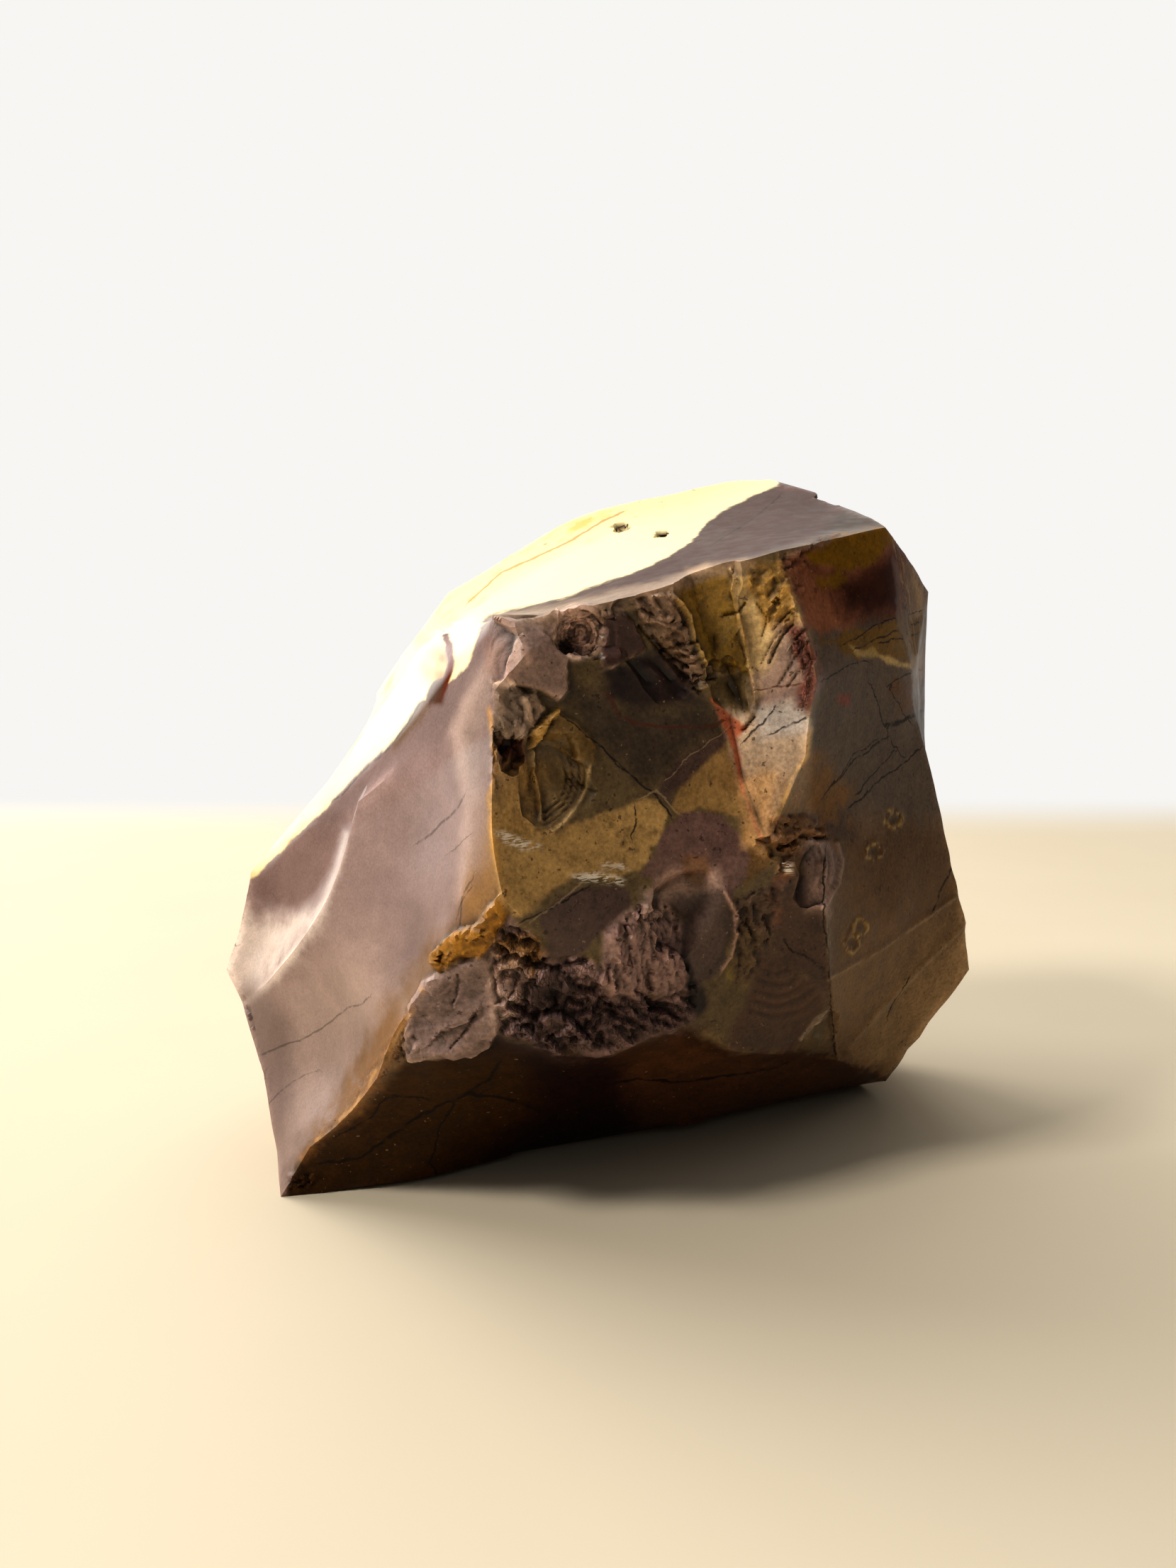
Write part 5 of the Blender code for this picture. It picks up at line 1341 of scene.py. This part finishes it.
def bruised(tree, colour, place, wobble, breaks):
    """Whitish bruises, drawn out in streaks, and pale threads."""
    streaks = add_node(tree, "ShaderNodeMapping")
    feed(tree, place, streaks.inputs["Vector"])
    streaks.inputs["Rotation"].default_value = (0.0, math.radians(14), 0.0)
    streaks.inputs["Scale"].default_value = (0.2, 1.0, 2.4)
    dashes = speckle(tree, streaks.outputs[0], BRUISE_DASHES, 4.0)
    bruise = times(tree, ramp(tree, kept(tree, "bruise"), -0.1, 0.7), ramp(tree, dashes, 0.47, 0.53))
    colour = tinted(tree, times(tree, bruise, 0.85), colour, BRUISE_WHITE)
    pale = times(tree, vein_share(tree, "pale_veins", wobble, 0.5), breaks)
    return tinted(tree, pale, colour, THREAD_PALE)


def fine_bump(tree, place, grit, rough, gap):
    """The finest grain of the surface, deepest where it crumbles."""
    crumb = speckle(tree, place, CRUMB_LUMPS, 5.0, 0.62)
    rise = times(tree, crumb, ramp(tree, rough, 0.0, 1.0, 0.05, 1.0))
    rise = plus(tree, rise, times(tree, grit, ramp(tree, rough, 0.0, 1.0, 0.06, 0.3)))
    rise = reckon(tree, "SUBTRACT", rise, times(tree, gap, 0.5))
    bump = add_node(tree, "ShaderNodeBump")
    bump.inputs["Strength"].default_value = 0.7
    bump.inputs["Distance"].default_value = BUMP_HEIGHT * MM
    feed(tree, rise, bump.inputs["Height"])
    return bump.outputs[0]


def jasper_finish():
    """The stone's one material."""
    material = bpy.data.materials.new("jasper")
    material.use_nodes = True
    tree = material.node_tree
    tree.nodes.clear()
    place = add_node(tree, "ShaderNodeTexCoord").outputs["Object"]
    medium = speckle(tree, place, MEDIUM_LUMPS, 4.0)
    fine = speckle(tree, place, FINE_LUMPS, 3.0, 0.6)
    grit = speckle(tree, place, GRIT_LUMPS, 3.0, 0.6)
    cloudy = kept(tree, "cloudy")
    rough = kept(tree, "crumble")
    colour = mottled(tree, clouded(tree, place, medium), place, medium, fine, grit, cloudy)
    colour = specked(tree, colour, place, cloudy)
    wobble = plus(tree, ramp(tree, medium, 0.3, 0.7, -0.16, 0.16), ramp(tree, fine, 0.3, 0.7, -0.04, 0.04))
    wobble = times(tree, wobble, ramp(tree, cloudy, 0.1, 0.9, 0.35, 1.0))
    breaks = ramp(tree, speckle(tree, place, VEIN_BREAKS, 2.0), 0.36, 0.5, 0.35, 1.0)
    colour = veined(tree, colour, place, wobble, breaks, cloudy)
    gap = crumb_gaps(tree, place, medium, rough)
    # Painted shade darkens the gaps between crumbs
    colour = tinted(tree, times(tree, gap, 0.5), colour, GAP_SHADE)
    cream = plus(tree, kept(tree, "cream"), ramp(tree, medium, 0.25, 0.75, -0.15, 0.15))
    colour = over(tree, ramp(tree, cream, -0.15, 0.25), colour, cream_rind(tree, place, wobble))
    colour = tinted(tree, kept(tree, "cream_hole"), colour, HOLE_BROWN)
    colour = bruised(tree, colour, place, wobble, breaks)
    sheen = plus(tree, ramp(tree, rough, 0.0, 1.0, 0.4, 0.62), ramp(tree, medium, 0.3, 0.7, -0.05, 0.06))
    sheen = plus(tree, sheen, ramp(tree, cream, -0.15, 0.25, 0.0, 0.14))
    surface = add_node(tree, "ShaderNodeBsdfPrincipled")
    surface.inputs["IOR"].default_value = STONE_IOR
    feed(tree, kept(tree, "gloss"), surface.inputs["Specular IOR Level"])
    feed(tree, colour, surface.inputs["Base Color"])
    feed(tree, sheen, surface.inputs["Roughness"])
    feed(tree, fine_bump(tree, place, grit, rough, gap), surface.inputs["Normal"])
    output = add_node(tree, "ShaderNodeOutputMaterial")
    feed(tree, surface.outputs[0], output.inputs["Surface"])
    return material


def hollows(points, tris, rounds):
    """How deep each point lies under the surface round it, in millimetres."""
    sides = sides_of(tris, len(points))[0]
    level = points
    for _ in range(rounds):
        level = neighbour_mean(level, sides, len(points))
    return ((level - points) * point_normals(points, tris)).sum(1)


def cream_depth(points, spots, scale, seen, sides):
    """Millimetres that each point lies inside the cream rind, or less than nothing outside."""
    rows = np.flatnonzero(seen > 0)
    cream = np.zeros(len(points))
    cream[rows] = inside_by(spots[rows], scale[rows], CREAM_OUTLINE)
    for outline in CREAM_GAPS:
        cream[rows] = np.minimum(cream[rows], -1.2 * inside_by(spots[rows], scale[rows], outline))
    carried, share = spread(cream[:, None], seen, sides, COLOUR_SPREAD)
    share = eased(share, 0.1, 0.9)
    plane = np.clip((points - CREAM_THROUGH) @ CREAM_NORMAL + 1.5 * grain(points, 7.0, 5.9), -6, 6)
    return carried[:, 0] * share + plane * (1 - share)


def crumbled(spots, scale):
    """How crumbled the seen points are, from nothing to one."""
    crumble = np.zeros(len(spots))
    for name, row in CRUMBS.items():
        laid = eased(inside_by(spots, scale, row[-1]), -0.4, 0.8)
        crumble = np.maximum(crumble, laid * (UNCRACKED_SHARE if name in UNCRACKED else 1.0))
    for row in LAYERS.values():
        laid = eased(inside_by(spots, scale, row[-1]), -0.4, 0.8)
        crumble = np.maximum(crumble, UNCRACKED_SHARE * laid)
    return crumble


def jasper_stone():
    """The stone: its refined mesh, moved by the relief, with what its material reads kept on its points."""
    points, tris, ridges, shell = refined_stone(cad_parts["mookaite_jasper"])
    count = len(points)
    sides = sides_of(tris, count)[0]
    normals = point_normals(points, tris)
    seen = seen_from_eye(points, normals, shell)
    spots, scale = on_picture(points)
    rows = np.flatnonzero(seen > 0)
    shown = (spots[rows], scale[rows])
    fade = seen.copy()
    for _ in range(SEEN_FADE):
        fade = neighbour_mean(fade, sides, count)
    fade = np.clip(fade * 2 - 1, 0, 1) * seen

    height = np.zeros(count)
    height[rows] = front_relief(points[rows], *shown) * fade[rows]
    height += back_relief(points) * (1 - fade) + 0.02 * grain(points, 1.2, 7.1)
    height *= eased(points[:, 2], 0.0, SOLE_HEIGHT)
    low, high = (np.array(corner) / MM for corner in cad_box)
    placed = np.clip(points + normals * height[:, None], low, high)

    tone = np.zeros((count, 3))
    tone[rows] = front_tone(points[rows], *shown)
    carried, share = spread(tone, seen, sides, COLOUR_SPREAD)
    share = eased(share, 0.0, 0.7)[:, None]
    tone = carried * share + plain(MAUVE) * (1 - share)
    # Painted shade darkens the tone in hollows, and painted highlight lightens it on crests
    depth = hollows(placed, tris, HOLLOW_ROUNDS)
    light = 1 - HOLLOW_PAINTED_SHADE * np.clip(depth, 0, 0.4) + CREST_PAINTED_HIGHLIGHT * np.clip(-depth, 0, 0.25)
    tone *= np.clip(light, *PAINTED_LIGHT_LIMITS)[:, None]

    crumble = np.zeros(count)
    crumble[rows] = crumbled(*shown)
    bruise = np.full(count, -6.0)
    for outline in BRUISES:
        bruise[rows] = np.maximum(bruise[rows], inside_by(*shown, outline))
    cloudy = np.ones(count)
    gloss = np.full(count, PLAIN_GLOSS)
    for outline, quiet, shine in SMOOTH_FACES:
        cover = eased(inside_by(*shown, outline), -0.8, 0.8)
        cloudy[rows] += cover * (quiet - cloudy[rows])
        gloss[rows] += cover * (shine - gloss[rows])
    hole = np.zeros(count)
    for middle, (wide, high) in CREAM_HOLES:
        hole = np.maximum(hole, eased(hole_depth(spots, middle, wide, high), -0.1, 0.15) * seen)
    # Painted shade round the bump at the left, laid on the cream rind
    cream_painted_shade = np.zeros(count)
    for middle, wide, most in CREAM_PAINTED_SHADES:
        round_it = np.exp(-(np.hypot(*(spots - middle).T) / wide) ** 2)
        cream_painted_shade = np.maximum(cream_painted_shade, most * round_it * seen)

    mesh = new_mesh("jasper_stone", placed, tris)
    fields = {
        "tone": np.column_stack((tone, np.ones(count))),
        "cream": cream_depth(points, spots, scale, seen, sides),
        "cream_edge": np.clip((points - CREAM_EDGE_FROM) @ CREAM_EDGE_WAY, 0, 20),
        "cream_hole": hole,
        "cream_painted_shade": cream_painted_shade,
        "crumble": crumble,
        "bruise": bruise,
        "cloudy": cloudy,
        "gloss": gloss,
        "hidden": 1 - fade,
        "unseen": 1 - share,
    }
    for name, veins in VEINS.items():
        fields[name] = np.tile((VEIN_REACH, VEIN_REACH, 0.0), (count, 1))
        fields[name][rows] = vein_field(*shown, veins)
    for name, values in fields.items():
        keep_on_points(mesh, name, values)
    mesh.set_sharp_from_angle(angle=math.radians(SHARP_ANGLE))
    mesh.materials.append(jasper_finish())
    stone = bpy.data.objects.new("jasper_stone", mesh)
    bpy.context.scene.collection.objects.link(stone)
    return stone


def pale_floor():
    """A plain pale floor, far wider than the picture, that turns into the wall behind the stone."""
    half = FLOOR_HALF
    mesh = bpy.data.meshes.new("floor")
    corners = [(-half, -half, 0), (half, -half, 0), (half, half, 0), (-half, half, 0)]
    mesh.from_pydata(corners, [], [(0, 1, 2, 3)])
    material = bpy.data.materials.new("floor")
    material.use_nodes = True
    tree = material.node_tree
    surface = tree.nodes["Principled BSDF"]
    place = add_node(tree, "ShaderNodeTexCoord").outputs["Object"]
    paper = over(tree, speckle(tree, place, PAPER_LUMPS), shade(PAPER), shade(PAPER_PALE))
    reach = add_node(tree, "ShaderNodeVectorMath", operation="LENGTH")
    feed(tree, place, reach.inputs[0])
    way = add_node(tree, "ShaderNodeSeparateXYZ")
    feed(tree, place, way.inputs[0])
    behind = ramp(tree, way.outputs["Y"], 0.23, 0.34)
    far = reckon(tree, "MAXIMUM", ramp(tree, reach.outputs["Value"], 0.25, 1.6), behind)
    feed(tree, tinted(tree, far, paper, (0, 0, 0)), surface.inputs["Base Color"])
    surface.inputs["Emission Color"].default_value = WALL_COLOUR
    feed(tree, times(tree, far, WALL_GLOW), surface.inputs["Emission Strength"])
    surface.inputs["Roughness"].default_value = 1.0
    surface.inputs["Specular IOR Level"].default_value = 0.0
    mesh.materials.append(material)
    floor = bpy.data.objects.new("floor", mesh)
    bpy.context.scene.collection.objects.link(floor)


def soft_light(name, place, aim, size, power, colour):
    """A softbox that is turned to the stone."""
    light = bpy.data.lights.new(name, "AREA")
    light.shape = "RECTANGLE"
    light.size, light.size_y = size
    light.energy = power
    light.color = colour
    lamp = bpy.data.objects.new(name, light)
    lamp.location = place
    lamp.rotation_euler = (Vector(aim) - Vector(place)).to_track_quat("-Z", "Y").to_euler()
    bpy.context.scene.collection.objects.link(lamp)


def studio():
    """A light tent, bright behind the stone and dim in front of it, with three softboxes."""
    world = bpy.data.worlds.new("studio")
    world.use_nodes = True
    tree = world.node_tree
    way = add_node(tree, "ShaderNodeSeparateXYZ")
    feed(tree, add_node(tree, "ShaderNodeTexCoord").outputs["Generated"], way.inputs[0])
    behind = ramp(tree, way.outputs["Y"], -0.2, 0.8)
    behind = times(tree, behind, ramp(tree, way.outputs["X"], 0.36, 0.62, 1.0, 0.12))
    left = ramp(tree, way.outputs["X"], 0.3, -1.0)
    above = ramp(tree, way.outputs["Z"], 0.2, 1.0)
    glow = plus(tree, TENT_FRONT, times(tree, behind, TENT_BACK))
    glow = plus(tree, glow, times(tree, left, TENT_LEFT))
    glow = plus(tree, glow, times(tree, above, TENT_TOP))
    tent = tree.nodes["Background"]
    tent.inputs["Color"].default_value = TENT_COLOUR
    feed(tree, glow, tent.inputs["Strength"])
    wall = add_node(tree, "ShaderNodeBackground")
    wall.inputs["Color"].default_value = WALL_COLOUR
    wall.inputs["Strength"].default_value = WALL_GLOW
    shown = add_node(tree, "ShaderNodeMixShader")
    feed(tree, add_node(tree, "ShaderNodeLightPath").outputs["Is Camera Ray"], shown.inputs[0])
    feed(tree, tent.outputs[0], shown.inputs[1])
    feed(tree, wall.outputs[0], shown.inputs[2])
    feed(tree, shown.outputs[0], tree.nodes["World Output"].inputs["Surface"])
    bpy.context.scene.world = world
    for lamp in LAMPS:
        soft_light(*lamp)


def camera():
    lens = bpy.data.cameras.new("camera")
    lens.sensor_width = FILM_WIDE
    lens.lens = FILM_WIDE * FOCAL / PHOTO_HIGH
    lens.clip_start = 0.01
    lens.dof.use_dof = False
    view = bpy.data.objects.new("camera", lens)
    view.location = EYE * MM
    view.rotation_euler = (math.pi / 2 - LOOK_DOWN, 0.0, 0.0)
    bpy.context.scene.collection.objects.link(view)
    bpy.context.scene.camera = view


bpy.context.scene.view_settings.view_transform = "Standard"
bpy.context.scene.view_settings.look = "Medium High Contrast"
camera()
stone = jasper_stone()
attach(stone, "root")
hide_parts("mookaite_jasper")
pale_floor()
studio()
